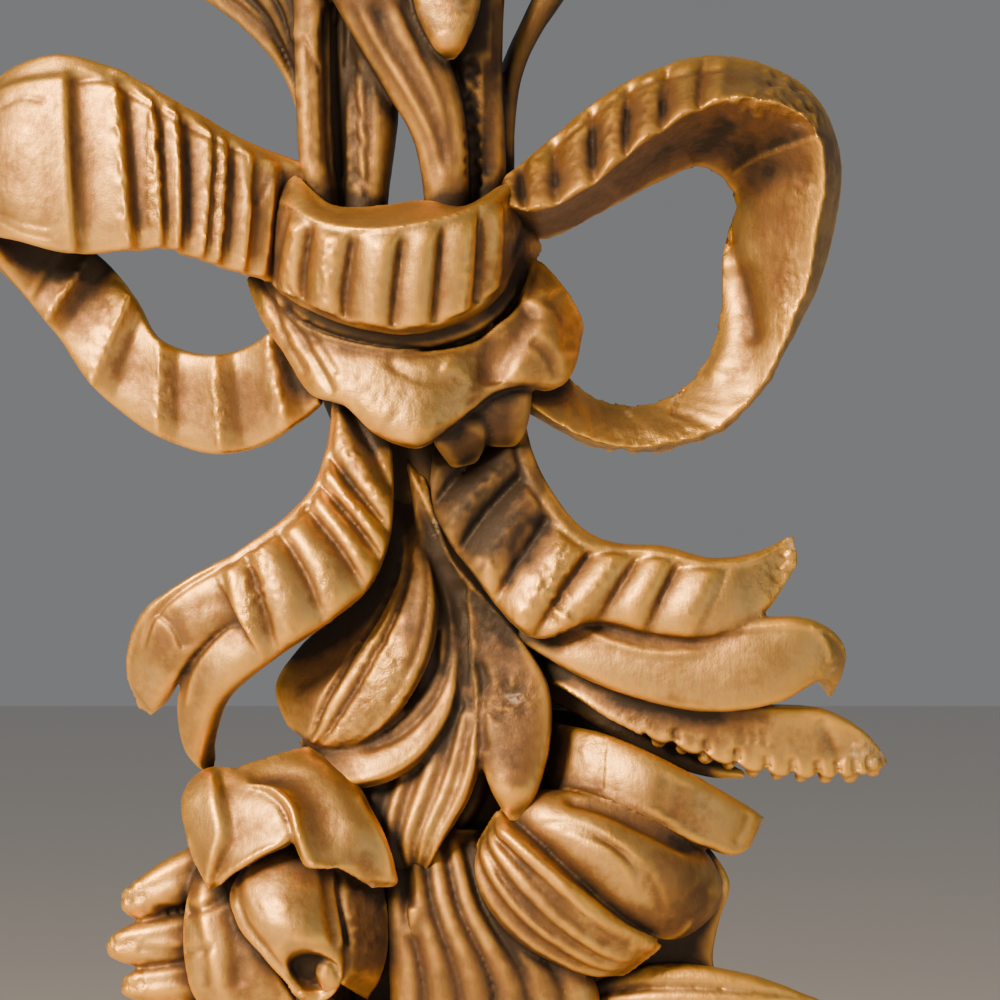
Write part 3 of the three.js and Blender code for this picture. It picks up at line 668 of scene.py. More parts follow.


# Age: glaze and painted shade gather in the hollows, and hands rub the ridges, which carry painted highlights


def neighbour_mean(values, edges, degree):
    """The mean of each point's neighbours."""
    out = np.empty_like(values)
    for k in range(values.shape[1]):
        total = np.bincount(edges[:, 0], weights=values[edges[:, 1], k], minlength=len(values))
        total += np.bincount(edges[:, 1], weights=values[edges[:, 0], k], minlength=len(values))
        out[:, k] = total / degree
    return out


def box_blur(field, radius):
    """Mean over a square of the given radius, in cells."""
    for axis in (0, 1):
        padded = np.pad(field, [(radius + 1, radius) if a == axis else (0, 0) for a in (0, 1)], mode="edge")
        total = np.cumsum(padded, axis=axis)
        size = field.shape[axis]
        high = np.take(total, np.arange(2 * radius + 1, 2 * radius + 1 + size), axis=axis)
        low = np.take(total, np.arange(size), axis=axis)
        field = (high - low) / (2 * radius + 1)
    return field


def read(mesh, kind, count, width, dtype=float):
    """One field of a mesh as an array."""
    values = np.empty(count * width, dtype)
    field = {"vertices": "co", "edges": "vertices", "vertex_normals": "vector"}[kind]
    getattr(mesh, kind).foreach_get(field, values)
    return values.reshape(-1, width)


def age(pieces):
    """Stores on every piece how hollow and how rubbed each point is, from 0 to 1: hollow places take glaze
    and painted shade, rubbed ones wear and painted highlights.
    """
    data = []
    for piece in pieces:
        mesh = piece.data
        points = read(mesh, "vertices", len(mesh.vertices), 3)
        normals = read(mesh, "vertex_normals", len(mesh.vertices), 3)
        edges = read(mesh, "edges", len(mesh.edges), 2, np.int32)
        data.append((piece, points, normals, edges))
    low = np.min([d[1].min(axis=0) for d in data], axis=0) - MARGIN
    high = np.max([d[1].max(axis=0) for d in data], axis=0) + MARGIN
    shape = np.ceil((high - low)[[0, 2]] / CELL).astype(int) + 1
    front = np.zeros(shape)
    for _, points, _, _ in data:
        i, k = (((points - low) / CELL)[:, [0, 2]].astype(int)).T
        np.maximum.at(front, (i, k), -points[:, 1])
    near, far = (box_blur(box_blur(front, cells), cells) for cells in (NEAR_CELLS, FAR_CELLS))
    for piece, points, normals, edges in data:
        degree = np.maximum(np.bincount(edges.ravel(), minlength=len(points)), 1)
        moving, rise = points, {}
        for step in range(1, BROAD_STEPS + 1):
            moving = neighbour_mean(moving, edges, degree)
            if step in (FINE_STEPS, BROAD_STEPS):
                rise[step] = np.einsum("ij,ij->i", moving - points, normals)
        fine, broad = rise[FINE_STEPS], rise[BROAD_STEPS]
        i, k = (((points - low) / CELL)[:, [0, 2]].astype(int)).T
        behind_near, behind_far = near[i, k] + points[:, 1], far[i, k] + points[:, 1]
        sunk = np.maximum(behind_near / NEAR_DROP, behind_far / FAR_DROP)
        turned = smooth((normals[:, 1] - 0.1) / 0.7)
        scoop = behind_near * smooth((-normals[:, 1] - 0.3) / 0.3)
        # Glaze lies in cuts, in broad hollows and in scoops; there and wherever a place is sunk or turned to
        # the wall the darkening is also painted shade
        hollow = smooth(fine / (0.25 * MM)) * 0.16 + smooth(broad / (1.5 * MM)) * 0.34
        hollow += 0.56 * smooth((scoop + 0.9 * MM) / (2.8 * MM))
        hollow = np.clip(hollow + 0.8 * smooth(sunk - 0.1) + 0.3 * turned, 0, 1)
        # Hands reach crests and broad swells that stand in front; the pale gold there is wear and also
        # painted highlight
        rubbed_and_highlit = smooth(-fine / (0.14 * MM) - 0.1) * 0.7 + smooth(-broad / (1.2 * MM) - 0.1) * 0.5
        rubbed_and_highlit += 0.4 * smooth((0.1 * MM - scoop) / (2.2 * MM))
        rubbed_and_highlit = np.clip(rubbed_and_highlit * (1 - smooth(sunk * 1.2)) * (1 - turned), 0, 1)
        for label, values, rounds in (("hollow", hollow, 5), ("rubbed_and_highlit", rubbed_and_highlit, 1)):
            soft = values[:, None]
            for _ in range(rounds):
                soft = neighbour_mean(soft, edges, degree)
            layer = piece.data.attributes.new(label, "FLOAT", "POINT")
            layer.data.foreach_set("value", soft[:, 0].astype(np.float32))


# Finish


def linear(hex_code):
    """An sRGB hex colour as linear RGBA."""
    channels = [int(hex_code[i:i + 2], 16) / 255 for i in (1, 3, 5)]
    return [c / 12.92 if c <= 0.04045 else ((c + 0.055) / 1.055) ** 2.4 for c in channels] + [1.0]


def antique_gold():
    """Satin antique gold: bronze-powder paint brushed over gesso on carved wood, toned with an umber glaze
    that was wiped off the ridges. It gives a soft broad sheen, pale worn edges with painted highlights and
    dark brown depths with painted shade."""
    found = bpy.data.materials.get("Antique gold over gesso")
    if found:
        return found
    tones = bpy.context.scene.bouquet_gilding
    material = bpy.data.materials.new("Antique gold over gesso")
    material.use_nodes = True
    tree = material.node_tree
    tree.nodes.clear()
    where = add(tree, "ShaderNodeTexCoord").outputs["Object"]
    hollow, rubbed_and_highlit, toned, grain, bare = (
        add(tree, "ShaderNodeAttribute", attribute_name=name).outputs["Fac"]
        for name in ("hollow", "rubbed_and_highlit", "toned", "grain", "bare"))

    # Patches of thinner and thicker glaze, about 12 mm and 2.5 mm across
    patches = noise(tree, where, 85.0, 3.0, 0.6).outputs[0]
    spots = noise(tree, where, 400.0, 4.0, 0.65).outputs[0]
    # Brush marks of the paint, 0.9 mm apart and drawn out along the ornament
    drawn = add(tree, "ShaderNodeMapping", {"Vector": where, "Scale": (1100.0, 1100.0, 220.0)})
    brushed = noise(tree, drawn.outputs[0], 1.0, 2.0)
    # Specks of bronze powder, 0.35 mm across
    powder = noise(tree, where, 2800.0, 1.0).outputs[0]

    # Glaze and painted shade, from none to thick; patches below zero paint light
    glaze_and_shade = maths(tree, "MULTIPLY_ADD", patches, 0.6, -0.3)
    glaze_and_shade = maths(tree, "MULTIPLY_ADD", spots, 0.5, glaze_and_shade)
    glaze_and_shade = maths(tree, "SUBTRACT", glaze_and_shade, 0.25)
    glaze_and_shade = maths(tree, "ADD", hollow, glaze_and_shade)
    glaze_and_shade = maths(tree, "ADD", toned, glaze_and_shade, clamp=True)
    ramp = add(tree, "ShaderNodeValToRGB", {"Fac": glaze_and_shade})
    stops = ramp.color_ramp.elements
    stops[0].position, stops[0].color = 0.0, linear_of(tones.body)
    stops[1].position, stops[1].color = 1.0, linear_of(tones.depths)
    for position, colour in ((0.06, tones.body), (0.36, tones.glaze_and_shade), (0.72, tones.umber)):
        stop = stops.new(position)
        stop.color = linear_of(colour)

    # Rubbed ridges, which are wear and painted highlights, less where a place is toned down
    wear_and_highlight = maths(tree, "MULTIPLY_ADD", spots, 0.9, -0.35)
    wear_and_highlight = maths(tree, "ADD", rubbed_and_highlit, wear_and_highlight)
    wear_and_highlight = maths(tree, "MULTIPLY", wear_and_highlight, rubbed_and_highlit, clamp=True)
    wear_and_highlight = maths(tree, "MULTIPLY", wear_and_highlight, maths(tree, "SUBTRACT", 1.0, toned, clamp=True))
    colour = mixed(tree, wear_and_highlight, ramp.outputs[0], linear_of(tones.wear_and_highlight))
    # Bare gesso shows through in flecks where the gold has chipped away
    chipped = maths(tree, "MULTIPLY_ADD", spots, 3.0, -1.4)
    chipped = maths(tree, "MULTIPLY", chipped, bare, clamp=True)
    colour = mixed(tree, chipped, colour, linear_of(tones.gesso))
    # Slight change of tone along the brush marks
    colour = mixed(tree, 0.16, colour, brushed.outputs[1], "SOFT_LIGHT")

    # Glaze and gesso dull the metal
    metallic = add(tree, "ShaderNodeMapRange", {"Value": glaze_and_shade, 1: 0.2, 2: 0.9, 3: 0.95, 4: 0.35})
    metallic = maths(tree, "SUBTRACT", metallic.outputs[0], chipped, clamp=True)
    rough = add(tree, "ShaderNodeMapRange", {"Value": glaze_and_shade, 1: 0.1, 2: 0.9, 3: 0.43, 4: 0.6})
    rough = maths(tree, "MULTIPLY_ADD", spots, 0.16, rough.outputs[0])
    rough = maths(tree, "MULTIPLY_ADD", powder, 0.18, rough)
    rough = maths(tree, "SUBTRACT", rough, 0.14)

    # Pits are deeper on the granular places
    height = maths(tree, "MULTIPLY", spots, maths(tree, "MULTIPLY_ADD", grain, 2.2, 0.55))
    height = maths(tree, "MULTIPLY_ADD", brushed.outputs[0], 0.22, height)
    height = maths(tree, "MULTIPLY_ADD", powder, 0.12, height)
    bump = add(tree, "ShaderNodeBump", {"Strength": 0.5, "Distance": 0.0004, "Height": height})
    shader = add(tree, "ShaderNodeBsdfPrincipled", {
        "Base Color": colour,
        "Metallic": metallic,
        "Roughness": rough,
        "Normal": bump.outputs[0],
    })
    add(tree, "ShaderNodeOutputMaterial", {"Surface": shader.outputs[0]})
    return material


def linear_of(colour):
    """A colour property as linear RGBA: Blender already keeps it linear."""
    return [*colour, 1.0]


# The bow, laid out as in the solid


def left_loop_parts(sizes):
    upper = pleats([0.0, 0.045, 0.07, 0.105, 0.127, 0.187, 0.218, 0.262, 0.331], sizes.flute_depth,
                   slow_before=False, rim=0.06)
    lower = pleats([0.6, 0.653, 0.731, 0.807, 0.88, 0.962, 1.03], -sizes.flute_depth)

    def pillow(t, s):
        edge = smooth((t - 0.314) / 0.008) * smooth((0.54 - t) / 0.12)
        return 1.7 * MM * edge * smooth((s - 0.09) / 0.05) * (0.75 + 0.25 * smooth((s - 0.05) / 0.3))

    forms = [blade([
        [-48, 66, 70, -58, 6, 72],
        [-80, 77, 84, -84, 12, 88, 2],
        [-102, 89, 92, -106, 19, 96, 3],
        [-122, 100, 97, -118, 23, 102, 3],
        [-147, 113, 100, -139, 22, 106, 3],
        [-172, 119, 100, -168, 21, 106, 4],
        [-196, 112, 90, -194, 28, 98, 5],
        [-208, 96, 70, -210, 30, 76, 3],
        [-198, 62, 50, -207, 18, 54, 0],
        [-176, 36, 42, -194, 2, 42, 0],
        [-156, 22, 40, -180, -15, 40, 0],
        [-140, 4, 40, -158, -45, 40, 0],
        [-127, -18, 42, -127, -68, 42, 0],
        [-102, -27, 46, -97, -77, 46, 0],
        [-79, -22, 50, -68, -70, 52, 0],
        [-58, -8, 56, -44, -52, 58, 0],
    ], sizes.ribbon_thickness, relief=both(upper, lower, pillow), two_sided=True, tips=(0, 0))]
    strokes = [
        cut([(-172, 104), (-150, 106), (-132, 97), (-112, 86), (-92, 76), (-76, 69)], 0.6, 1.0),
        cut([(-80, 73), (-78, 60), (-75, 45)], 0.3, 0.8),
        cut([(-64, 66), (-70, 55), (-75, 45)], 0.3, 0.8),
        ridge([(-148, 111), (-133, 108), (-121, 97), (-113, 94)], 0.5, 0.8),
        cut([(-203, 92), (-190, 97), (-176, 95)], 0.3, 0.9),
        cut([(-204, 42), (-190, 36), (-174, 33)], 0.35, 0.9),
        cut([(-203, 38), (-188, 31), (-173, 28)], 0.35, 0.8),
    ]
    patches = {
        "grain": [
            (-124, 62, 5, 38, 0.8), (-92, 50, 4, 34, 0.7), (-123, -45, 5, 24, 0.7),
            (-96, -52, 4, 24, 0.6),
        ],
        "glaze_and_shade": [
            (-175, 4, 30, 30, 0.3), (-186, 66, 30, 50, 0.12), (-110, -48, 60, 30, 0.1),
            (-100, 34, 50, 22, 0.14), (-84, 60, 40, 50, 0.1),
        ],
        "bare": [
            (-68, 58, 5, 8, 0.4),
        ],
    }
    return forms, strokes, patches


def right_loop_parts(sizes):
    flutes = pleats([0.0, 0.04, 0.085, 0.13, 0.175, 0.215, 0.25, 0.285], sizes.flute_depth * 0.8, lobed=True)
    broken = torn(0.3, 0.41, 1.5 * MM, 11)

    def crimped(t, s):
        """The outer side: flutes that fade at the rim, and torn carving at the bend."""
        return both(flutes, broken)(t, s) * smooth(s / 0.2)

    def hollowed(t, s):
        """The inner side, hollow up to the bend."""
        return -1.2 * MM * np.sin(np.pi * s) * smooth((0.44 - t) / 0.1)

    forms = [body(
        [
            [[42, 58, 60], [46, 46, 88], [54, 30, 56]],
            [[62, 74, 66], [64, 43, 96], [70, 31, 48]],
            [[88, 96, 68], [90, 55, 101], [96, 44, 44]],
            [[114, 112, 68], [112, 73, 103], [122, 58, 42]],
            [[146, 122, 66], [144, 93, 103], [146, 67, 40]],
            [[178, 118, 62], [172, 98, 101], [158, 60, 38]],
            [[204, 102, 54], [199, 88, 93], [163, 48, 36]],
            [[217, 72, 44], [206, 62, 85], [159, 34, 34]],
            [[214, 36, 38], [203, 38, 79], [156, 18, 34]],
            [[206, 8, 36], [198, 8, 73], [156, -4, 34]],
            [[194, -16, 36], [188, -18, 67], [150, -26, 36]],
            [[180, -40, 38], [178, -40, 63], [138, -42, 38]],
            [[157, -65, 40], [155, -63, 60], [120, -51, 40]],
            [[129, -75, 42], [127, -72, 62], [104, -51, 42]],
            [[104, -76, 44], [102, -73, 64], [90, -46, 44]],
            [[82, -69, 46], [80, -65, 68], [76, -34, 48]],
            [[58, -56, 50], [56, -50, 70], [56, -16, 52]],
        ],
        reliefs={0: crimped, 1: hollowed},
        round_at=0.5 * MM,
        ragged=[(1, 0.42, 0.98, 0.3 * MM), (0, 0.62, 0.95, 0.9 * MM)],
    )]
    strokes = [
        cut([(154, 50), (158, 34), (164, 14), (169, -6), (171, -24)], 1.3, 2.4),
        cut([(160, 20), (166, -4), (170, -30), (168, -54)], 1.0, 5.0),
        ridge([(156, 30), (160, 6), (160, -20), (150, -44)], 0.8, 2.6),
        step([(204, 80), (190, 76), (172, 70), (158, 62)], 0.7, 9.0),
        cut([(140, 70), (150, 78), (160, 90)], 0.7, 3.0),
        cut([(116, 58), (124, 68), (128, 80)], 0.6, 3.0),
        cut([(160, 56), (180, 64), (200, 62)], 0.6, 3.4),
        cut([(138, -42), (134, -50), (131, -58)], 0.7, 0.6),
        cut([(134, -42), (131, -48)], 0.6, 0.6),
        cut([(109, -50), (110, -59)], 0.5, 0.6),
        cut([(60, 66), (84, 86), (112, 105), (140, 112), (166, 114), (188, 111)], 0.6, 1.0),
    ]
    patches = {
        "grain": [
            (178, 96, 26, 9, 1.0), (196, 60, 8, 16, 0.4), (190, -10, 6, 40, 0.5), (120, -68, 36, 6, 0.5),
        ],
        "glaze_and_shade": [
            # The patch over the inner top face is painted shade; the one that lifts the foot is painted light
            (130, 72, 60, 30, 0.5), (74, 44, 44, 26, 0.42), (186, 74, 30, 26, 0.3),
            (110, -60, 74, 24, -0.5), (186, 30, 24, 30, 0.1),
        ],
        "bare": [
            (134, -50, 3, 6, 0.8), (110, -55, 2, 4, 0.6), (196, 86, 8, 4, 0.5),
        ],
    }
    return forms, strokes, patches


def knot_parts(sizes):
    crimped = pleats([0.15, 0.255, 0.38, 0.52, 0.645, 0.78, 0.9], sizes.flute_depth * 1.1, lobed=True)
    knot = body(
        [
            [[-66, 67, 58], [-76, 48, 62], [-78, 30, 60], [-77, 22, 52]],
            [[-55, 61, 80], [-60, 45, 94], [-67, 9, 84], [-68, -4, 64]],
            [[-38, 46, 92], [-44, 36, 110], [-47, -4, 103], [-47, -19, 78]],
            [[-16, 45, 96], [-18, 32, 119], [-22, -13, 113], [-22, -27, 84]],
            [[8, 48, 94], [6, 35, 120], [2, -15, 114], [2, -31, 84]],
            [[28, 45, 88], [27, 41, 114], [25, -8, 108], [27, -27, 82]],
            [[45, 56, 78], [43, 48, 102], [43, 5, 96], [51, -12, 72]],
            [[52, 60, 58], [54, 52, 74], [55, 34, 70], [67, 26, 50]],
        ],
        reliefs={
            1: lambda t, s: crimped(t, s) * smooth(s / 0.2) - 0.5 * MM * (1 - smooth(s / 0.12)),
            2: grooves([0.35, 0.75], 1.1 * MM, 0.14),
        },
        round_at=0.7 * MM,
    )

    def waved(t, s):
        """The drape's free edge waves."""
        return 0.9 * MM * np.sin(t * 26 + 1.2) * smooth((s - 0.35) / 0.6) * smooth((0.9 - t) / 0.1)

    drape = blade([
        [-72, 16, 52, -77, 8, 50],
        [-64, 2, 66, -61, -24, 68, 1],
        [-52, -8, 76, -46, -48, 82, 0],
        [-34, -18, 84, -31, -54, 93, 1],
        [-16, -24, 90, -17, -67, 98, 2],
        [4, -28, 92, 5, -74, 101, 2],
        [20, -26, 90, 22, -63, 97, 0],
        [36, -20, 84, 38, -50, 88, -3],
        [48, -10, 82, 54, -44, 86, 2],
        [56, 2, 76, 74, -44, 76, 6],
        [57, 20, 62, 84, -18, 58, 4],
    ], sizes.ribbon_thickness * 1.4, relief=waved, tips=(0, 0))
    fold_right = blade([
        [34, -44, 72, 62, -38, 62],
        [31, -53, 82, 60, -50, 76, 2],
        [33, -62, 78, 57, -62, 72, 2],
        [40, -69, 66, 51, -69, 64, 1],
    ], sizes.ribbon_thickness * 1.4, relief=cupped(0.8 * MM))
    fold_middle = blade([
        [8, -58, 78, 40, -50, 70],
        [10, -68, 86, 38, -61, 80, 2],
        [15, -75, 80, 35, -70, 74, 2],
        [20, -79, 68, 30, -77, 66, 1],
    ], sizes.ribbon_thickness * 1.4, relief=cupped(1.0 * MM))
    heart = ground([
        [43, -38, 54, 48],
        [26, -62, 58, 74],
        [0, -62, 62, 88],
        [-40, -48, 60, 74],
        [-66, -34, 44, 46],
    ])
    strokes = [
        ridge([(-70, 12), (-60, -8), (-42, -19), (-20, -25), (0, -27), (22, -24), (44, -14), (57, 2),
               (62, 22)], 0.9, 0.7),
        cut([(-66, 16), (-56, -2), (-40, -12), (-20, -18), (0, -20), (20, -17), (40, -7), (52, 10)],
            0.7, 1.3),
        ridge([(-52, 60), (-39, 45), (-20, 44), (10, 48), (28, 44), (46, 56)], 0.7, 0.8),
        cut([(62, -2), (54, -18), (46, -32), (42, -46)], 2.0, 3.6),
        cut([(-70, 2), (-62, -20), (-50, -40)], 0.8, 1.2),
        cut([(-64, 0), (-54, -18), (-43, -36), (-36, -50)], 0.9, 1.4),
        cut([(-52, -10), (-44, -24), (-34, -40)], 0.6, 1.1),
        ridge([(-48, -20), (-38, -34), (-22, -52), (-8, -62)], 0.7, 3.6),
        cut([(-12, -30), (-2, -38), (14, -42), (28, -38)], 0.5, 1.6),
        ridge([(16, -32), (28, -40), (34, -50)], 0.5, 2.6),
        cut([(70, 4), (78, -10), (80, -28)], 0.8, 2.2),
        cut([(60, -20), (70, -30), (74, -42)], 0.6, 1.6),
    ]
    patches = {
        "grain": [
            (0, -48, 46, 20, 0.22), (28, -40, 10, 14, 0.35), (-64, -8, 14, 22, 0.5),
        ],
        "glaze_and_shade": [
            # The patches that lift the knot's face, the drape and the rim are painted light
            (-10, 14, 60, 40, -0.3), (0, -48, 50, 26, -0.3), (-12, 46, 60, 9, -0.3),
            (0, -22, 66, 9, 0.35), (-40, -14, 24, 9, 0.35), (54, 2, 18, 34, 0.4), (66, -28, 26, 34, 0.3),
            # The deep patches on the folds under the drape are painted shade
            (48, -58, 24, 18, 0.7), (24, -74, 22, 13, 0.75), (-64, -10, 14, 20, 0.15),
        ],
    }
    return [knot, drape, fold_right, fold_middle, heart], strokes, patches


# The tails


def tail_parts(sizes):
    thick = sizes.ribbon_thickness * 1.3
    left = blade(
        [
            [-38, -38, 50, -12, -46, 54],
            [-42, -76, 66, -8, -96, 72, 2],
            [-50, -97, 72, -10, -120, 80, 3],
            [-66, -113, 78, -20, -143, 88, 4],
            [-82, -124, 80, -44, -163, 92, 4],
            [-96, -134, 78, -70, -180, 88, 4],
        ],
        thick,
        relief=pleats([0.1, 0.3, 0.42, 0.54, 0.7, 0.88, 1.04], sizes.flute_depth, slant=(0.2, 0.17), rim=0.07,
                      lobed=True),
        tips=(0, 0),
    )
    left_tips = [
        blade([
            [-80, -124, 78, -66, -168, 86, 3],
            [-98, -133, 78, -88, -163, 84, 4],
            [-116, -143, 76, -104, -175, 80, 4],
            [-131, -155, 70, -116, -191, 72, 4],
            [-139, -177, 58, -123, -202, 60, 3],
            [-137, -204, 46, -130, -208, 46, 0],
        ], sizes.leaf_thickness, relief=both(rim_line(0.1, 0.7 * MM), cupped(0.9 * MM))),
        blade([
            [-64, -152, 84, -60, -174, 86, 4],
            [-84, -160, 82, -80, -189, 84, 5],
            [-102, -175, 76, -91, -200, 78, 5],
            [-113, -194, 66, -97, -215, 68, 4],
            [-112, -217, 54, -100, -229, 54, 3],
            [-103, -234, 44, -99, -237, 44, 0],
        ], sizes.leaf_thickness, relief=both(cupped(1.0 * MM, 0.8 * MM), strands(9, 0.18 * MM))),
    ]
    right = blade(
        [
            [54, -42, 50, 14, -52, 54],
            [62, -78, 66, 12, -104, 72, 2],
            [72, -98, 72, 30, -134, 80, 3],
            [88, -116, 76, 62, -168, 86, 4],
            [104, -122, 76, 92, -160, 84, 4],
            [125, -123, 78, 120, -166, 86, 4],
            [150, -129, 80, 148, -168, 86, 4],
            [172, -126, 78, 174, -158, 82, 3],
            [191, -117, 74, 193, -132, 76, 0],
        ],
        thick,
        relief=both(
            pleats([0.0, 0.09, 0.185, 0.295, 0.395, 0.545, 0.65, 0.775], sizes.flute_depth * 1.1,
                   slant=(0.08, -0.06), rim=0.15, lobed=True),
            rim_line(0.12, 1.0 * MM, 0.04),
            lambda t, s: -1.4 * MM * smooth((t - 0.8) / 0.06) * np.sin(np.pi * s) * smooth((1.0 - t) / 0.1),
            torn(0.93, 0.99, 0.3 * MM, 13),
        ),
        tips=(0, 1),
    )
    right_tips = [
        blade([
            [60, -140, 58, 54, -170, 66],
            [88, -154, 68, 82, -186, 76, 3],
            [112, -161, 74, 112, -198, 80, 4],
            [145, -162, 78, 150, -205, 84, 4],
            [175, -158, 82, 184, -200, 84, 4],
            [198, -159, 82, 203, -190, 76, 4],
            [213, -172, 66, 208, -194, 62, 3],
            [213, -194, 50, 210, -199, 48, 0],
        ], sizes.leaf_thickness, relief=both(rim_line(0.14, 0.8 * MM), cupped(0.5 * MM))),
        blade(
            TOOTHED_LEAF,
            sizes.leaf_thickness,
            relief=cupped(1.6 * MM, 1.2 * MM),
            teeth=(TEETH, sizes.bead_radius, *TOOTHED_STRETCH),
        ),
        blade([
            [50, -176, 30, 46, -190, 30],
            [84, -194, 42, 80, -206, 40],
            [115, -212, 50, 112, -224, 46, 2],
            [145, -227, 50, 142, -236, 46, 2],
            [168, -237, 48, 168, -240, 46, 0],
        ], sizes.leaf_thickness),
    ]
    notches = tooth_line(2 * TEETH - 1)[1::2] / UNIT
    teeth = [cut([(x - 0.6, z + 9), (x, z + 6), (x + 0.4, z + 1)], 1.2, 1.0) for x, _, z in notches]
    strokes = [
        *teeth,
        cut([(-42, -90), (-54, -106), (-72, -119), (-92, -132), (-112, -144), (-127, -158), (-134, -178)],
            0.7, 0.8),
        cut([(-46, -99), (-58, -112), (-76, -123), (-92, -134)], 0.5, 0.7),
        step([(-113, -176), (-119, -164), (-128, -157)], 0.7, 6.0),
        cut([(-120, -160), (-100, -152), (-88, -150)], 0.3, 2.4),
        ridge([(-84, -161), (-96, -172), (-106, -186), (-111, -206)], 0.5, 0.9),
        cut([(166, -212), (167, -222)], 0.4, 1.0),
        cut([(171, -212), (172, -222)], 0.4, 1.0),
        cut([(176, -213), (177, -223)], 0.4, 1.0),
        cut([(204, -208), (210, -220), (216, -232)], 0.6, 1.4),
        cut([(184, -128), (189, -124), (193, -122)], 0.5, 0.8),
        cut([(182, -134), (188, -130), (193, -128)], 0.5, 0.8),
        cut([(180, -140), (186, -136), (192, -134)], 0.5, 0.8),
        ridge([(66, -150), (84, -163), (104, -172), (124, -176), (150, -175)], 0.5, 1.2),
        ridge([(198, -162), (206, -170), (209, -182)], 0.5, 1.0),
    ]
    patches = {
        "grain": [
            (-76, -148, 7, 26, 0.9), (-40, -140, 6, 24, 0.4), (75, -146, 6, 26, 0.8),
            (180, -138, 12, 14, 0.5), (190, -122, 6, 8, 0.8), (206, -178, 8, 14, 0.5),
            (108, -212, 16, 8, 0.5), (228, -226, 12, 8, 0.7),
        ],
        "glaze_and_shade": [
            # The deep patch on the right tail's top, under the drape, is a painted shadow
            (-116, -164, 24, 24, 0.26), (-104, -204, 16, 34, 0.22), (34, -92, 46, 54, 0.9),
            (-26, -70, 18, 26, 0.3), (120, -208, 40, 12, 0.35), (60, -180, 20, 16, 0.5),
            (110, -224, 50, 14, 0.35),
        ],
        "bare": [
            (191, -120, 4, 6, 0.9), (208, -182, 4, 8, 0.6), (206, -166, 4, 3, 0.6),
            (230, -226, 12, 7, 0.8), (-130, -190, 8, 16, 0.25),
        ],
    }
    forms = [left, right, *left_tips, *right_tips, *tooth_forms(sizes)]
    return forms, strokes, patches


def tooth_line(count):
    """Even places on the toothed edge, from the middle of the first tooth to that of the last."""
    low, high = TOOTHED_STRETCH
    half = (high - low) / TEETH / 2
    return curve(places([row[3:6] for row in TOOTHED_LEAF]), np.linspace(low + half, high - half, count))


def tooth_forms(sizes):
    """The lower edge of the toothed leaf: rounded teeth left standing between the notches."""
    line = tooth_line(40)
    made = mesh_object("toothed edge", line, [], [(i, i + 1) for i in range(len(line) - 1)])
    grow(made, bead_row(antique_gold()), {
        "Beads": TEETH,
        "Bead radius": sizes.bead_radius * 0.8,
        "Reach along": 1.0,
        "Seed": 4,
    })
    return [taken(made)]


# The leaves that hang between the tails


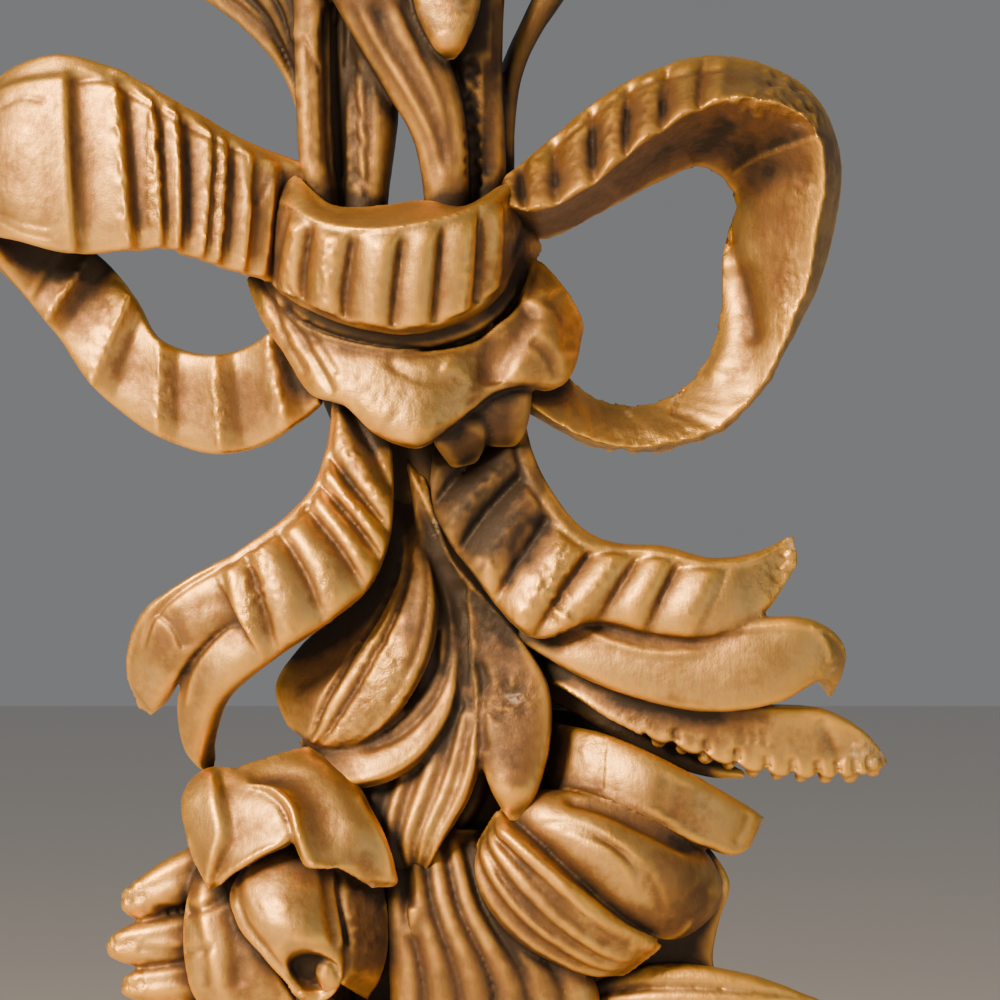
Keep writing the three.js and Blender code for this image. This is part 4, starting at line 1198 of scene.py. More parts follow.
def leaf_parts(sizes):
    thick, vein = sizes.leaf_thickness, sizes.vein_depth

    def banded(t, s):
        """The great leaf: a hollow half, a raised band between two cuts, and a rounded half with a rim."""
        hollow = -1.5 * MM * np.sin(np.pi * np.clip(s / 0.5, 0, 1)) + 0.5 * MM * smooth((s - 0.5) / 0.04)
        cuts = grooves([0.5, 0.66], vein, 0.028)(t, s) + grooves([0.94], vein * 0.5, 0.02)(t, s)
        return (hollow * smooth(t / 0.15) * smooth((1 - t) / 0.15)) + cuts

    forms = [
        blade([
            [-8, -98, 44, 4, -106, 48],
            [-16, -130, 46, 13, -140, 64, 2],
            [-34, -156, 46, 13, -162, 72, 4],
            [-56, -176, 46, 7, -184, 74, 5],
            [-67, -194, 46, -8, -208, 72, 5],
            [-62, -210, 46, -26, -222, 66, 4],
            [-54, -219, 46, -46, -225, 54, 0],
        ], thick, relief=banded),
        blade([
            [-4, -98, 46, 16, -108, 52],
            [0, -150, 56, 40, -154, 60, 2],
            [2, -200, 60, 42, -200, 64, 2],
            [10, -240, 58, 44, -236, 62, 0],
        ], thick, relief=grooves([0.3, 0.6], vein * 0.7, 0.06)),
        blade([
            [4, -118, 42, 20, -128, 50],
            [10, -152, 46, 28, -160, 60, 2],
            [6, -176, 48, 27, -184, 66, 3],
            [-2, -194, 50, 20, -208, 70, 4],
            [-14, -206, 50, 6, -228, 72, 4],
            [-30, -214, 50, -14, -240, 73, 4],
            [-46, -218, 46, -36, -242, 69, 3],
            [-56, -222, 44, -50, -233, 58, 0],
        ], thick, relief=cupped(0.9 * MM)),
        blade([
            [12, -140, 44, 30, -150, 54],
            [10, -185, 48, 38, -190, 66, 3],
            [-12, -222, 48, 36, -222, 74, 2],
            [-26, -245, 54, 30, -246, 74, 2],
            [-26, -268, 62, 16, -271, 70, 2],
            [-8, -289, 60, 6, -289, 60, 0],
        ], thick, relief=both(cupped(1.2 * MM), grooves([0.3, 0.5, 0.72, 0.88], vein * 0.8, 0.06))),
        blade([
            [24, -170, 38, 44, -175, 46],
            [22, -215, 40, 41, -225, 50, 2],
            [16, -250, 40, 37, -250, 50, 2],
            [8, -284, 38, 16, -285, 40, 0],
        ], thick, relief=cupped(0.8 * MM)),
        blade([
            [-2, -80, 50, 8, -90, 52],
            [4, -112, 54, 22, -128, 60, 1],
            [10, -150, 56, 51, -163, 64, 1],
            [22, -190, 62, 69, -193, 70, 2],
            [33, -222, 70, 70, -218, 74, 4],
            [41, -245, 76, 64, -244, 76, 4],
            [50, -260, 76, 55, -260, 76, 0],
        ], thick, relief=lambda t, s: cupped(1.3 * MM)(t, s) * smooth((0.75 - t) / 0.2)),
    ]
    strokes = [
        ridge([(-50, -229), (-36, -239), (-14, -237), (5, -225), (18, -206), (25, -184)], 0.6, 0.9),
        cut([(14, -134), (20, -165), (14, -196), (-4, -216), (-28, -226)], 0.8, 1.2),
        cut([(-56, -196), (-34, -180), (-16, -158), (-6, -134)], 0.5, 2.6),
        cut([(34, -178), (36, -196), (35, -214), (37, -226)], 0.9, 1.6),
        step([(28, -138), (30, -160), (32, -186), (33, -208)], 1.0, 8.0),
        ridge([(-4, -76), (14, -113), (29, -139), (47, -157), (61, -176)], 0.8, 1.0),
        cut([(4, -100), (22, -132), (40, -156), (56, -178)], 0.5, 2.2),
        cut([(14, -128), (24, -152), (40, -174)], 0.5, 2.0),
        cut([(24, -150), (32, -176), (44, -200)], 0.5, 1.6),
        cut([(46, -190), (50, -195), (56, -196)], 0.5, 1.2),
        cut([(40, -204), (45, -208), (49, -205)], 0.5, 1.0),
    ]
    patches = {
        "grain": [
            (-14, -190, 16, 32, 0.75), (-32, -214, 14, 8, 0.6), (48, -199, 18, 14, 0.85),
            (38, -160, 16, 22, 0.4),
        ],
        "glaze_and_shade": [
            (32, -150, 42, 60, 0.56), (52, -206, 24, 44, 0.46), (22, -196, 24, 40, 0.3),
            (-40, -170, 34, 40, 0.12), (28, -262, 14, 26, 0.3),
        ],
        "bare": [
            (52, -198, 5, 3, 0.9), (12, -114, 3, 5, 0.4),
        ],
    }
    return forms, strokes, patches


# The flowers


def left_flower_parts(sizes):
    thick = sizes.petal_thickness
    fingers = []
    for root, knuckle, tip, width in (
        ((-72, -274), (-118, -292), (-145, -301), 28),
        ((-72, -306), (-120, -321), (-152, -324), 25),
        ((-72, -336), (-118, -343), (-145, -344), 22),
        ((-72, -358), (-112, -366), (-134, -372), 20),
    ):
        fingers.append(blade([
            [root[0], root[1] + width / 2, 36, root[0], root[1] - width / 2, 36, 4],
            [knuckle[0], knuckle[1] + width / 2, 46, knuckle[0], knuckle[1] - width / 2, 46, 5],
            [tip[0] + 7, tip[1] + width * 0.34, 44, tip[0] + 7, tip[1] - width * 0.34, 42, 3],
            [tip[0], tip[1] + 2, 40, tip[0], tip[1] - 2, 39, 0],
        ], sizes.leaf_thickness, relief=grooves([0.4], 0.7 * MM, 0.15)))

    def folded(t, s):
        """The left petal: it climbs to a fold, drops behind it and climbs again to its free edge."""
        rise = np.where(s < 0.36, (s / 0.36) ** 0.8, np.maximum(1 - smooth((s - 0.36) / 0.16),
                                                              0.85 * np.clip((s - 0.46) / 0.54, 0, 1) ** 1.4))
        return 2.4 * MM * (rise - 0.5) * smooth(t / 0.2) * smooth((1.02 - t) / 0.15)

    def opened(t, s):
        """The rosebud: it swells inside a thin rim and ends in an open mouth."""
        inner = smooth((s - 0.12) / 0.06) * smooth((0.93 - s) / 0.06)
        end = 0.63 + 0.1 * (1 - smooth(s / 0.5))
        mouth = smooth((1 - ((s - 0.56) / 0.42) ** 2 - ((t - 0.78) / 0.14) ** 2) / 0.4)
        swell = 1.3 * MM * smooth((end + 0.02 - t) / 0.06) * smooth(t / 0.25)
        seam = 1.0 * MM * np.exp(-(((s - 0.13) / 0.04) ** 2)) * smooth((t - 0.25) / 0.2)
        return inner * swell - 5.5 * MM * mouth - seam

    def rolled(t, s):
        """The middle petal: a rolled left edge, a deep hollow beside it, then a broad swell."""
        roll = np.exp(-((s / 0.12) ** 2))
        swell = 0.9 * smooth((s - 0.28) / 0.4) - 0.35 * smooth((s - 0.78) / 0.22)
        return 2.8 * MM * (np.maximum(roll, swell) - 0.5) * smooth(t / 0.15) * smooth((0.7 - t) / 0.25)

    petals = [
        blade([
            [-101, -237, 58, -86, -236, 66],
            [-110, -241, 64, -74, -246, 80, 1],
            [-114, -250, 70, -62, -254, 90, 1],
            [-112, -264, 74, -57, -267, 96, 1],
            [-107, -279, 76, -72, -276, 93, 1],
            [-101, -289, 76, -88, -286, 85, 0],
            [-98, -293, 74, -95, -292, 77, 0],
        ], thick, relief=folded),
        blade([
            [-87, -236, 66, -50, -225, 58],
            [-82, -245, 78, -36, -234, 64, 1],
            [-69, -247, 88, -25, -245, 70, 1],
            [-61, -254, 94, -19, -256, 76, 1],
            [-57, -266, 98, -13, -266, 82, 1],
            [-49, -281, 100, -9, -276, 84, 0],
            [-39, -280, 96, -7, -284, 83, 0],
            [-28, -285, 91, -6, -289, 81, 0],
            [-18, -292, 86, -8, -292, 80, 0],
        ], thick, relief=rolled),
        blade([
            [-60, -266, 56, -42, -266, 58, 2],
            [-80, -282, 66, -38, -278, 72, 6],
            [-89, -297, 72, -36, -297, 80, 10],
            [-84, -312, 78, -34, -312, 86, 11],
            [-71, -326, 84, -32, -325, 88, 7],
            [-58, -340, 86, -34, -338, 86, 2],
            [-54, -345, 82, -42, -343, 82, 0],
        ], thick * 1.5, relief=opened, tips=(0, 0)),
        blade([
            [-45, -328, 80, -39, -327, 80],
            [-46, -334, 90, -36, -333, 89, 2],
            [-43, -341, 82, -37, -340, 81],
        ], thick * 0.8),
        blade([
            [-40, -272, 72, -20, -276, 58],
            [-38, -294, 82, -14, -300, 62, 2],
            [-34, -320, 86, -14, -326, 62, 2],
            [-34, -340, 82, -22, -350, 60, 0],
        ], thick, relief=cupped(1.0 * MM)),
        blade([
            [-100, -268, 42, -84, -268, 50],
            [-108, -290, 52, -84, -290, 62, 1],
            [-112, -308, 58, -82, -308, 70, 2],
            [-112, -330, 62, -70, -328, 74, 3],
            [-108, -346, 62, -58, -346, 74, 3],
            [-98, -356, 56, -50, -354, 66, 0],
        ], thick, relief=lambda t, s: 1.5 * MM * np.exp(-(((s - 0.38) / 0.2) ** 2)) * smooth(t / 0.2)),
    ]
    heart = ground([
        [-244, -88, -28, 50],
        [-266, -102, -14, 78],
        [-310, -104, -10, 78],
        [-350, -98, -18, 66],
        [-392, -84, -30, 40],
    ])
    strokes = [
        ridge([(-9, -288), (-12, -272), (-20, -256), (-27, -245)], 0.5, 0.8),
        ridge([(-51, -279), (-39, -281), (-27, -286), (-17, -290)], 0.5, 0.8),
        ridge([(-112, -262), (-107, -278), (-99, -289), (-88, -283), (-73, -274), (-60, -268)], 0.5, 0.8),
        ridge([(-88, -297), (-84, -311), (-72, -323), (-60, -339), (-53, -344), (-40, -342), (-33, -332)],
              0.9, 1.1),
        ridge([(-39, -280), (-37, -299), (-33, -323)], 0.9, 0.9),
        cut([(-36, -280), (-34, -299), (-30, -322)], 1.1, 1.0),
        ridge([(-74, -301), (-66, -297), (-58, -302)], 0.2, 1.8),
        cut([(-112, -300), (-104, -322), (-102, -344)], 0.6, 1.6),
        cut([(-90, -302), (-86, -322), (-84, -344)], 0.8, 2.0),
        cut([(-86, -292), (-96, -300), (-112, -306), (-132, -305)], 0.8, 1.4),
        cut([(-96, -322), (-116, -326), (-140, -325)], 0.6, 1.2),
    ]
    patches = {
        "grain": [
            (-146, -322, 11, 9, 0.9), (-140, -298, 10, 9, 0.8), (-140, -344, 10, 9, 0.8),
            (-22, -305, 10, 26, 0.6),
        ],
        "glaze_and_shade": [
            # The deep patch in the rosebud's mouth is painted shade
            (-24, -306, 14, 40, 0.35), (-50, -330, 11, 7, 0.8), (-98, -272, 8, 20, 0.14),
            (-42, -258, 8, 20, 0.14), (-120, -300, 24, 10, 0.14), (-84, -336, 10, 14, 0.22),
        ],
        "bare": [
            (-14, -290, 8, 3, 0.6), (-140, -298, 4, 3, 0.5),
        ],
    }
    return [*fingers, *petals, heart], strokes, patches


def right_flower_parts(sizes):
    thick = sizes.petal_thickness
    between = blade([
        [-14, -268, 44, 44, -270, 44, 4],
        [-14, -300, 56, 60, -304, 58, 6],
        [-10, -345, 60, 94, -345, 60, 7],
        [-12, -400, 54, 84, -396, 54, 6],
        [-4, -440, 44, 56, -440, 44, 4],
    ], sizes.leaf_thickness * 1.7, relief=strands(6, 2.0 * MM), tips=(0, 0))
    petals = [
        blade([
            [72, -212, 46, 64, -246, 52],
            [100, -218, 64, 94, -250, 70, 2],
            [126, -229, 72, 120, -258, 76, 2],
            [150, -242, 68, 142, -270, 70, 2],
            [168, -253, 58, 160, -277, 60, 1],
            [177, -259, 50, 174, -265, 50, 0],
        ], thick * 1.2, relief=lambda t, s: 0.8 * MM * smooth((s - 0.82) / 0.1)),
        blade([
            [56, -248, 56, 46, -264, 58, 3],
            [76, -246, 64, 64, -276, 70, 9],
            [102, -250, 68, 88, -298, 74, 15],
            [126, -260, 66, 110, -314, 70, 17],
            [142, -272, 56, 130, -319, 58, 11],
            [149, -288, 46, 144, -308, 46, 4],
        ], thick * 2, tips=(0, 0)),
        blade(
            [
                [44, -254, 72, 34, -272, 64],
                [60, -268, 84, 38, -298, 72, 2],
                [81, -288, 90, 54, -318, 74, 3],
                [103, -308, 86, 78, -331, 72, 3],
                [126, -322, 72, 106, -338, 60, 0],
            ],
            thick * 1.4,
            relief=lambda t, s: (
                strands(4, 1.6 * MM)(t, s) * smooth((1.02 - t) / 0.3) * smooth((0.97 - s) / 0.1)),
            tips=(1, 1),
        ),
        blade([
            [126, -266, 44, 146, -270, 44],
            [130, -290, 48, 160, -292, 46, 2],
            [124, -312, 48, 155, -312, 46, 2],
            [116, -334, 48, 152, -332, 46, 2],
            [112, -352, 48, 158, -348, 46, 0],
        ], thick, relief=cupped(1.2 * MM), tips=(0, 0)),
    ]
    heart = ground([
        [-206, 50, 100, 36],
        [-244, 34, 140, 62],
        [-290, 40, 150, 70],
        [-330, 46, 146, 58],
        [-372, 60, 130, 36],
    ])
    arcs = [
        cut([(72 + 9 * k, -262 - 2 * k), (94 + 8 * k, -266 - 5 * k), (112 + 5 * k, -282 - 5 * k),
             (120 + 3 * k, -302 - 3 * k)], 0.3, 0.8)
        for k in range(-1, 3)
    ]
    strokes = [
        *arcs,
        ridge([(73, -244), (96, -249), (123, -260), (153, -274)], 1.0, 1.0),
        cut([(74, -248), (96, -253), (120, -264), (146, -277)], 1.4, 1.3),
        step([(99, -218), (98, -230), (97, -246)], 0.45, 7.0),
        cut([(129, -236), (126, -246), (124, -254)], 0.42, 2.0),
        cut([(136, -240), (133, -250), (131, -258)], 0.42, 2.0),
        cut([(170, -256), (167, -264), (162, -272)], 0.4, 1.2),
        ridge([(40, -259), (58, -274), (89, -299), (113, -317), (124, -323)], 1.2, 1.5),
        cut([(42, -266), (60, -283), (84, -304), (110, -323)], 0.7, 0.9),
        cut([(42, -282), (56, -301), (76, -318)], 0.5, 0.8),
        ridge([(68, -283), (89, -304), (115, -317), (132, -317), (143, -306)], 0.5, 1.0),
        ridge([(2, -302), (1, -318)], 1.2, 1.4),
    ]
    patches = {
        "grain": [
            (92, -226, 8, 10, 0.4), (104, -320, 20, 8, 0.4),
        ],
        "glaze_and_shade": [
            # The broad patch over the strands between the flowers is painted shade
            (22, -320, 70, 60, 0.4), (130, -290, 16, 26, 0.35), (142, -318, 20, 34, 0.5),
            (110, -310, 24, 14, 0.3), (136, -248, 20, 16, 0.1), (60, -226, 14, 16, 0.4),
            (90, -272, 24, 14, 0.12),
        ],
    }
    return [between, *petals, heart], strokes, patches


# The stems above the bow


def stem_parts(sizes):
    thick = sizes.leaf_thickness * 1.6
    stems = [
        [
            [-66, 236, 58, -48, 238, 60, 5],
            [-59, 170, 62, -40, 170, 64, 5],
            [-56, 110, 64, -39, 110, 68, 5],
            [-54, 70, 66, -37, 64, 70, 5],
            [-46, 20, 64, -30, 20, 66, 5],
        ],
        [
            [-46, 246, 48, -28, 248, 50, 4],
            [-42, 170, 50, -27, 170, 52, 4],
            [-38, 110, 50, -26, 110, 54, 4],
            [-36, 20, 52, -24, 20, 54, 4],
        ],
        [
            [-20, 236, 46, -2, 238, 46, 5],
            [-26, 170, 52, -8, 170, 54, 5],
            [-33, 100, 58, -6, 96, 60, 5],
            [-33, 52, 60, -11, 50, 60, 5],
            [-32, 20, 60, -13, 20, 60, 5],
        ],
        [
            [-74, 228, 66, -50, 240, 68, 5],
            [-40, 152, 72, 0, 158, 74, 5],
            [-12, 104, 76, 24, 106, 78, 5],
            [3, 76, 76, 29, 78, 78, 4],
            [10, 20, 72, 30, 20, 72, 4],
        ],
        [
            [34, 242, 52, 54, 244, 52, 4],
            [20, 160, 56, 48, 164, 56, 5],
            [19, 110, 60, 46, 116, 58, 5],
            [27, 60, 62, 47, 60, 58, 5],
            [24, 20, 60, 42, 20, 58, 5],
        ],
        [
            [92, 210, 38, 110, 202, 36, 4],
            [62, 154, 42, 78, 154, 42, 4],
            [44, 110, 44, 55, 112, 42, 4],
            [38, 20, 46, 52, 20, 44, 4],
        ],
    ]
    forms = [blade(rows, thick, tips=(0, 0)) for rows in stems]
    flared_leaf = blade([
        [-50, 84, 44, -44, 84, 52],
        [-60, 112, 46, -50, 120, 56, 1],
        [-84, 140, 44, -54, 160, 60, 2],
        [-112, 158, 38, -84, 186, 52, 2],
        [-136, 176, 28, -132, 182, 30, 0],
    ], sizes.leaf_thickness, relief=both(cupped(1.4 * MM), grooves([0.35, 0.62], sizes.vein_depth, 0.05)))
    drooping_bud = blade([
        [12, 246, 50, 30, 246, 50, 2],
        [4, 196, 70, 36, 196, 70, 4],
        [1, 160, 86, 36, 160, 86, 5],
        [3, 143, 90, 35, 143, 90, 5],
        [9, 129, 90, 30, 129, 90, 4],
        [18, 118, 86, 23, 118, 86, 0],
    ], sizes.leaf_thickness * 1.4, relief=lambda t, s: 0.7 * MM * speckle(t * 9, s * 2.5, 51))
    chips = [cut([(28, z + 4), (32, z + 1), (35, z - 5)], 0.9, 1.0)
             for z in (60, 66, 75, 82, 92, 99, 109, 116)]
    barbs = [cut([(-30, z + 7), (-24, z), (-20, z - 8)], 0.35, 1.0) for z in (58, 76, 90, 111)]
    strokes = [
        *chips,
        *barbs,
        cut([(40, 122), (39, 92), (38, 58)], 0.9, 1.6),
        cut([(44, 150), (43, 110), (42, 60)], 0.6, 1.2),
        cut([(-52, 150), (-49, 110), (-47, 60)], 0.5, 2.0),
        cut([(-44, 140), (-43, 100), (-42, 62)], 0.5, 1.2),
        step([(-53, 132), (-46, 120), (-41, 112)], 0.5, 5.0),
        cut([(-40, 148), (-38, 110), (-36, 54)], 1.6, 1.6),
        cut([(-30, 128), (-28, 92), (-27, 54)], 0.9, 1.6),
        cut([(-22, 110), (-20, 82), (-20, 54)], 0.7, 1.3),
        cut([(-18, 150), (-10, 128), (5, 104), (14, 84), (19, 60)], 1.3, 2.4),
        cut([(-32, 150), (-20, 126), (-4, 100), (8, 78), (14, 54)], 0.5, 1.2),
        cut([(-6, 150), (6, 124), (18, 96), (24, 62)], 0.5, 1.2),
        cut([(-104, 160), (-84, 146), (-66, 128), (-57, 108)], 0.8, 1.2),
        ridge([(-100, 152), (-82, 137), (-64, 118), (-55, 98)], 0.8, 0.9),
        ridge([(-78, 172), (-64, 150), (-56, 126)], 0.7, 1.0),
        cut([(10, 150), (12, 138), (16, 128)], 0.4, 2.0),
        cut([(28, 152), (26, 138)], 0.3, 2.0),
    ]
    patches = {
        "grain": [
            (-48, 100, 9, 50, 0.2), (-24, 84, 14, 40, 0.25), (36, 88, 12, 36, 0.3),
            (18, 142, 14, 18, 0.3),
        ],
        "glaze_and_shade": [
            (-28, 120, 18, 60, 0.12), (-80, 140, 34, 34, 0.2), (42, 110, 20, 60, 0.12),
            (64, 130, 30, 50, 0.3), (18, 146, 17, 28, -0.3),
        ],
        "bare": [
            (18, 145, 14, 20, 0.35),
        ],
    }
    return [*forms, flared_leaf, drooping_bud], strokes, patches


# The lower end, which follows the forms above it


def open_flower_forms(sizes, x, z, depth, radius, petals, turn):
    """An open flower: one petal repeated round its bud."""
    rows = []
    sections = ((0.1, 0.16, 0, 0), (0.45, 0.46, 0.16, 3), (0.85, 0.44, 0.08, 5), (1, 0.16, -0.12, 2))
    for out, half, rise, crown in sections:
        rows.append([
            radius * out, radius * half, radius * rise,
            radius * out, -radius * half, radius * rise,
            crown,
        ])
    shape = both(grooves([0.5], 0.8 * MM, 0.1), cupped(0.6 * MM))
    petal = mesh_object("petal", *blade(rows, sizes.petal_thickness * 1.6, relief=shape))
    grow(petal, turn_ring(antique_gold()), {
        "Petals": petals,
        "First turn": -turn,
        "Middle": tuple(places([[x, z, depth]])[0]),
    })
    bud = blade([
        [x - radius * 0.06, z + radius * 0.34, depth, x + radius * 0.06, z + radius * 0.34, depth, 0],
        [x - radius * 0.3, z + radius * 0.1, depth + radius * 0.2, x + radius * 0.3, z + radius * 0.1,
         depth + radius * 0.2, 7],
        [x - radius * 0.26, z - radius * 0.2, depth + radius * 0.2, x + radius * 0.26, z - radius * 0.2,
         depth + radius * 0.2, 6],
        [x - radius * 0.06, z - radius * 0.34, depth, x + radius * 0.06, z - radius * 0.34, depth, 0],
    ], sizes.petal_thickness * 2, relief=strands(3, 1.2 * MM))
    return [taken(petal), bud]


def pointed_leaf(sizes, root, tip, width):
    """A pointed leaf from its root to its tip, widest at its middle, with one cut along it."""
    (x, z, depth), (tip_x, tip_z, tip_depth) = root, tip
    length = math.hypot(tip_x - x, tip_z - z)
    aside, along = (tip_z - z) / length, -(tip_x - x) / length
    rows = []
    sections = ((0, width * 0.3, 0, 2), (0.35, width * 0.5, 8, 4), (0.7, width * 0.36, 8, 4), (1, 1, 0, 0))
    for share, half, rise, crown in sections:
        mx, mz = x + (tip_x - x) * share, z + (tip_z - z) * share
        md = depth + (tip_depth - depth) * share + rise
        across = (aside * half, along * half)
        rows.append([mx + across[0], mz + across[1], md, mx - across[0], mz - across[1], md, crown])
    veins = both(grooves([0.5, 0.25, 0.75], sizes.vein_depth * 0.8, 0.05), cupped(0.6 * MM))
    return blade(rows, sizes.leaf_thickness, relief=veins)


def lower_end_parts(sizes):
    leaves = (
        ([84, -356, 44], [206, -352, 50], 44),
        ([-74, -372, 38], [-158, -392, 40], 34),
        ([-50, -440, 34], [-120, -506, 36], 40),
        ([58, -458, 34], [146, -534, 36], 44),
        ([-10, -480, 34], [-54, -568, 30], 38),
        ([30, -490, 34], [66, -584, 30], 38),
        ([6, -490, 38], [4, -600, 28], 42),
    )
    forms = [
        *open_flower_forms(sizes, -52, -408, 60, 60, 5, 0.5),
        *open_flower_forms(sizes, 62, -446, 58, 66, 5, 0.1),
        *(pointed_leaf(sizes, root, tip, width) for root, tip, width in leaves),
    ]
    return forms, [], {"glaze_and_shade": [(0, -560, 60, 50, 0.12)], "grain": [(10, -430, 80, 40, 0.3)]}


def ground_forms():
    """The ground that carries the carving, flat at its back."""
    return [ground([
        [44, -30, 34, 36],
        [20, -44, 48, 48],
        [-30, -50, 56, 54],
        [-90, -30, 44, 56],
        [-150, -24, 58, 46],
        [-210, -34, 88, 40],
        [-240, -58, 112, 42],
        [-270, -92, 128, 44],
        [-340, -104, 128, 46],
        [-430, -84, 110, 46],
        [-500, -46, 66, 38],
        [-552, -20, 30, 22],
    ])]


# Sizes and colours that a user may change


class CarvingSizes(bpy.types.PropertyGroup):
    """Sizes of the carving."""

    ribbon_thickness: bpy.props.FloatProperty(
        name="Ribbon thickness", description="Thickness of the carved ribbon", default=0.006, unit="LENGTH")
    flute_depth: bpy.props.FloatProperty(
        name="Flute depth", description="Valley to ridge of a ribbon's crimp", default=0.0034, unit="LENGTH")
    leaf_thickness: bpy.props.FloatProperty(
        name="Leaf thickness", description="Thickness of a leaf at its middle", default=0.006, unit="LENGTH")
    petal_thickness: bpy.props.FloatProperty(
        name="Petal thickness", description="Thickness of a petal at its middle", default=0.005,
        unit="LENGTH")
    vein_depth: bpy.props.FloatProperty(
        name="Vein depth", description="Depth of the cuts along a leaf", default=0.0016, unit="LENGTH")
    bead_radius: bpy.props.FloatProperty(
        name="Bead radius", description="Size of a tooth of the notched leaf", default=0.0024,
        unit="LENGTH")
    facet_size: bpy.props.FloatProperty(
        name="Facet size", description="Width of a tool mark", default=0.007, unit="LENGTH")
    facet_depth: bpy.props.FloatProperty(
        name="Facet depth", description="Depth of a tool mark", default=0.0003, unit="LENGTH")
    grit: bpy.props.FloatProperty(
        name="Grit", description="Finest step of the carved surface", default=0.00062, unit="LENGTH")


def tone(name, description, hex_code):
    """A colour that a user may change."""
    return bpy.props.FloatVectorProperty(
        name=name, description=description, default=linear(hex_code)[:3], subtype="COLOR", size=3,
        min=0, max=1)


class GildingTones(bpy.types.PropertyGroup):
    """Colours of the gilding."""

    # Worn gold is wear and also paints the highlights on crests and swells that stand in front
    wear_and_highlight: tone("Worn gold", "Pale gold where hands have rubbed it", "#E6B252")
    body: tone("Gold", "The gold paint itself", "#C09A5C")
    # Glaze, umber and depths also paint shade in hollows, gaps and under overhangs, darkest in the deepest
    # places
    glaze_and_shade: tone("Glaze", "Gold seen through the brown glaze", "#84623C")
    umber: tone("Umber", "Glaze lying thick in the hollows", "#573F29")
    depths: tone("Depths", "The deepest cuts", "#281D13")
    gesso: tone("Gesso", "Pale ground where the gold has chipped off", "#D9C7B4")


class StudioSettings(bpy.types.PropertyGroup):
    """Where the camera stands and how bright the lamps are."""

    field: bpy.props.FloatProperty(
        name="Field", description="Width of the picture at the ornament", default=0.25, unit="LENGTH")
    distance: bpy.props.FloatProperty(
        name="Distance", description="From the camera to the ornament", default=1.2, unit="LENGTH")
    aim: bpy.props.FloatVectorProperty(
        name="Aim", description="Middle of the picture", default=(0.0225, -0.03, -0.05), subtype="XYZ")
    key: bpy.props.FloatProperty(
        name="Key lamp", description="Power of the main lamp", default=62.0, unit="POWER")
    fill: bpy.props.FloatProperty(
        name="Fill lamp", description="Power of the weaker lamp", default=2.0, unit="POWER")
    sky: bpy.props.FloatProperty(name="Room light", description="Brightness of the room", default=0.24)


# Operators


class CarveOperator:
    """Shared by the carving operators: they cut the forms and leave one fused piece."""

    bl_options = {"REGISTER", "UNDO"}
    piece = ""
    coarseness = 1.0
    toned = 0.0
    rounds = 2

    def parts(self, sizes):
        """The piece's forms, knife strokes and patches."""
        raise NotImplementedError

    def execute(self, context):
        sizes = context.scene.bouquet_carving
        forms, strokes, patches = self.parts(sizes)
        made = carve(self.piece, forms, strokes, patches, self.coarseness, self.toned, self.rounds)
        if not made.data.polygons:
            raise RuntimeError(f"{self.piece} came out empty")
        return {"FINISHED"}


class BOUQUET_OT_left_loop(CarveOperator, bpy.types.Operator):
    """Carve the bow's left loop"""

    bl_idname = "bouquet.left_loop"
    bl_label = "Left loop"
    piece = "left_loop"

    def parts(self, sizes):
        return left_loop_parts(sizes)


class BOUQUET_OT_right_loop(CarveOperator, bpy.types.Operator):
    """Carve the bow's right loop"""

    bl_idname = "bouquet.right_loop"
    bl_label = "Right loop"
    piece = "right_loop"
    rounds = 5

    def parts(self, sizes):
        return right_loop_parts(sizes)


class BOUQUET_OT_knot(CarveOperator, bpy.types.Operator):
    """Carve the crimped knot and the drape under it"""

    bl_idname = "bouquet.knot"
    bl_label = "Knot and drape"
    piece = "knot_and_drape"

    def parts(self, sizes):
        return knot_parts(sizes)


class BOUQUET_OT_tails(CarveOperator, bpy.types.Operator):
    """Carve the ribbon's two tails with their curled ends"""

    bl_idname = "bouquet.tails"
    bl_label = "Ribbon tails"
    piece = "ribbon_tails"

    def parts(self, sizes):
        return tail_parts(sizes)


class BOUQUET_OT_stems(CarveOperator, bpy.types.Operator):
    """Carve the sheaf of stems with its leaf and bud"""

    bl_idname = "bouquet.stems"
    bl_label = "Stems"
    piece = "stem_sheaf"
    toned = 0.54

    def parts(self, sizes):
        return stem_parts(sizes)


class BOUQUET_OT_leaves(CarveOperator, bpy.types.Operator):
    """Carve the leaves that hang between the tails"""

    bl_idname = "bouquet.leaves"
    bl_label = "Hanging leaves"
    piece = "hanging_leaves"
    toned = 0.1

    def parts(self, sizes):
        return leaf_parts(sizes)


class BOUQUET_OT_left_flower(CarveOperator, bpy.types.Operator):
    """Carve the left flower, its rosebud and the fingered leaf"""

    bl_idname = "bouquet.left_flower"
    bl_label = "Left flower"
    piece = "left_flower"

    def parts(self, sizes):
        return left_flower_parts(sizes)


class BOUQUET_OT_right_flower(CarveOperator, bpy.types.Operator):
    """Carve the right flower and the strands beside it"""

    bl_idname = "bouquet.right_flower"
    bl_label = "Right flower"
    piece = "right_flower"

    def parts(self, sizes):
        return right_flower_parts(sizes)


class BOUQUET_OT_lower_end(CarveOperator, bpy.types.Operator):
    """Carve the two open flowers and the leaves of the lower end"""

    bl_idname = "bouquet.lower_end"
    bl_label = "Lower end"
    piece = "lower_flowers"
    coarseness = 1.2

    def parts(self, sizes):
        return lower_end_parts(sizes)


class BOUQUET_OT_ground(CarveOperator, bpy.types.Operator):
    """Cut the ground that carries the carving, flat at its back"""

    bl_idname = "bouquet.ground"
    bl_label = "Ground"
    piece = "carved_ground"
    # The ground's tone is glaze and also painted shade where it shows between the forms
    toned = 0.34
    coarseness = 2.0

    def parts(self, sizes):
        return ground_forms(), [], {}


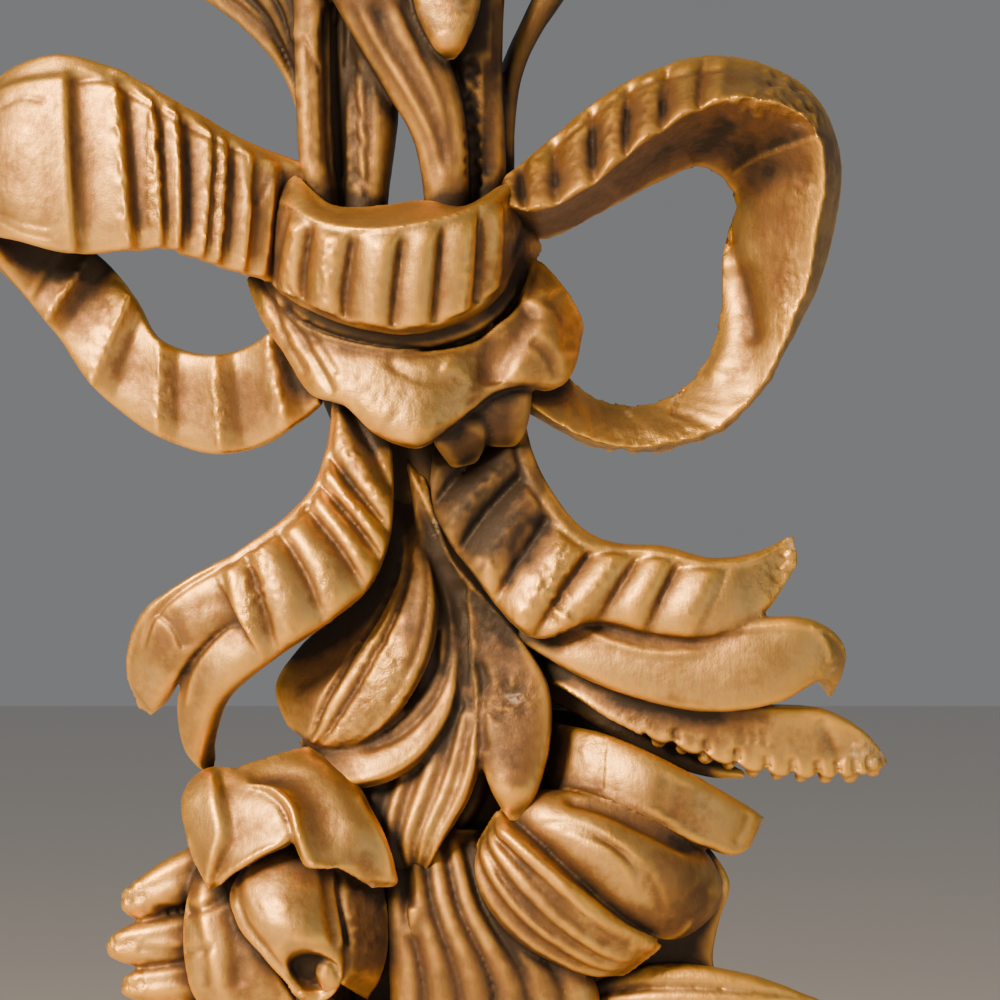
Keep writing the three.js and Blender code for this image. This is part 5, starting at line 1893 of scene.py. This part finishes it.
class BOUQUET_OT_age(bpy.types.Operator):
    """Let glaze and painted shade gather in the hollows and rub the ridges pale with wear and painted
    highlights
    """

    bl_idname = "bouquet.age"
    bl_label = "Glaze and rub"
    bl_options = {"REGISTER", "UNDO"}

    def execute(self, context):
        pieces = [o for o in context.scene.objects if o.get("carved")]
        if not pieces:
            raise RuntimeError("there is nothing carved yet")
        age(pieces)
        return {"FINISHED"}


class BOUQUET_OT_stage(bpy.types.Operator):
    """Set up the floor, the lamps and the camera"""

    bl_idname = "bouquet.stage"
    bl_label = "Studio"
    bl_options = {"REGISTER", "UNDO"}

    def execute(self, context):
        studio = context.scene.bouquet_studio
        aim = np.array(studio.aim)
        set_floor(CAD_BOX[0][2] - FLOOR_GAP)
        set_lamp("Key", aim + KEY_PLACE, aim, 0.5, studio.key, "#FFDBAE")
        set_lamp("Fill", aim + FILL_PLACE, aim, 0.9, studio.fill, "#F2F5FF")
        set_room(studio.sky)
        set_camera(aim, studio.distance, studio.field)
        return {"FINISHED"}


def set_floor(height):
    """A pale matt floor below the ornament."""
    side = 6.0
    corners = [(-side, -side, height), (side, -side, height), (side, side, height), (-side, side, height)]
    floor = mesh_object("floor", corners, [[0, 1, 2, 3]])
    paint = bpy.data.materials.new("Pale matt floor paint")
    paint.use_nodes = True
    shader = paint.node_tree.nodes["Principled BSDF"]
    shader.inputs["Base Color"].default_value = linear("#E6E3DE")
    shader.inputs["Roughness"].default_value = 0.8
    floor.data.materials.append(paint)


def aimed(origin, target):
    """Rotation that points an object's -Z from origin to target."""
    return (Vector(target) - Vector(origin)).to_track_quat("-Z", "Y").to_euler()


def set_lamp(name, place, target, size, power, hex_code):
    """A round soft lamp that points at the target."""
    lamp = bpy.data.lights.new(name, "AREA")
    lamp.shape = "DISK"
    lamp.size = size
    lamp.energy = power
    lamp.color = linear(hex_code)[:3]
    made = bpy.data.objects.new(name, lamp)
    made.location = place
    made.rotation_euler = aimed(place, target)
    bpy.context.scene.collection.objects.link(made)


def set_room(strength):
    """Even light from all round."""
    world = bpy.data.worlds.new("Room")
    world.use_nodes = True
    sky = world.node_tree.nodes["Background"]
    sky.inputs["Color"].default_value = linear("#E9EAEC")
    sky.inputs["Strength"].default_value = strength
    bpy.context.scene.world = world


def set_camera(aim, distance, field):
    """A camera straight in front, whose picture is as wide as the field at the ornament."""
    camera = bpy.data.cameras.new("Camera")
    camera.angle = 2 * math.atan(field / 2 / distance)
    made = bpy.data.objects.new("Camera", camera)
    made.location = aim + (0, -distance, 0)
    made.rotation_euler = (math.pi / 2, 0, 0)
    bpy.context.scene.collection.objects.link(made)
    bpy.context.scene.camera = made


STEPS = (
    BOUQUET_OT_stage,
    BOUQUET_OT_ground,
    BOUQUET_OT_left_loop,
    BOUQUET_OT_right_loop,
    BOUQUET_OT_knot,
    BOUQUET_OT_tails,
    BOUQUET_OT_stems,
    BOUQUET_OT_leaves,
    BOUQUET_OT_left_flower,
    BOUQUET_OT_right_flower,
    BOUQUET_OT_lower_end,
    BOUQUET_OT_age,
)


class BOUQUET_PT_panel(bpy.types.Panel):
    """The ornament's sizes, colours and pieces"""

    bl_label = "Giltwood bouquet"
    bl_idname = "BOUQUET_PT_panel"
    bl_space_type = "VIEW_3D"
    bl_region_type = "UI"
    bl_category = "Bouquet"

    def draw(self, context):
        for group in ("bouquet_carving", "bouquet_gilding", "bouquet_studio"):
            settings = getattr(context.scene, group)
            box = self.layout.box()
            for name in settings.__annotations__:
                box.prop(settings, name)
        for step in STEPS:
            self.layout.operator(step.bl_idname)


CLASSES = (CarvingSizes, GildingTones, StudioSettings, *STEPS, BOUQUET_PT_panel)


def register():
    for cls in CLASSES:
        bpy.utils.register_class(cls)
    bpy.types.Scene.bouquet_carving = bpy.props.PointerProperty(type=CarvingSizes)
    bpy.types.Scene.bouquet_gilding = bpy.props.PointerProperty(type=GildingTones)
    bpy.types.Scene.bouquet_studio = bpy.props.PointerProperty(type=StudioSettings)


def unregister():
    del bpy.types.Scene.bouquet_studio
    del bpy.types.Scene.bouquet_gilding
    del bpy.types.Scene.bouquet_carving
    for cls in reversed(CLASSES):
        bpy.utils.unregister_class(cls)


def main():
    register()
    for step in STEPS:
        group, name = step.bl_idname.split(".")
        getattr(getattr(bpy.ops, group), name)()


if __name__ == "__main__":
    main()
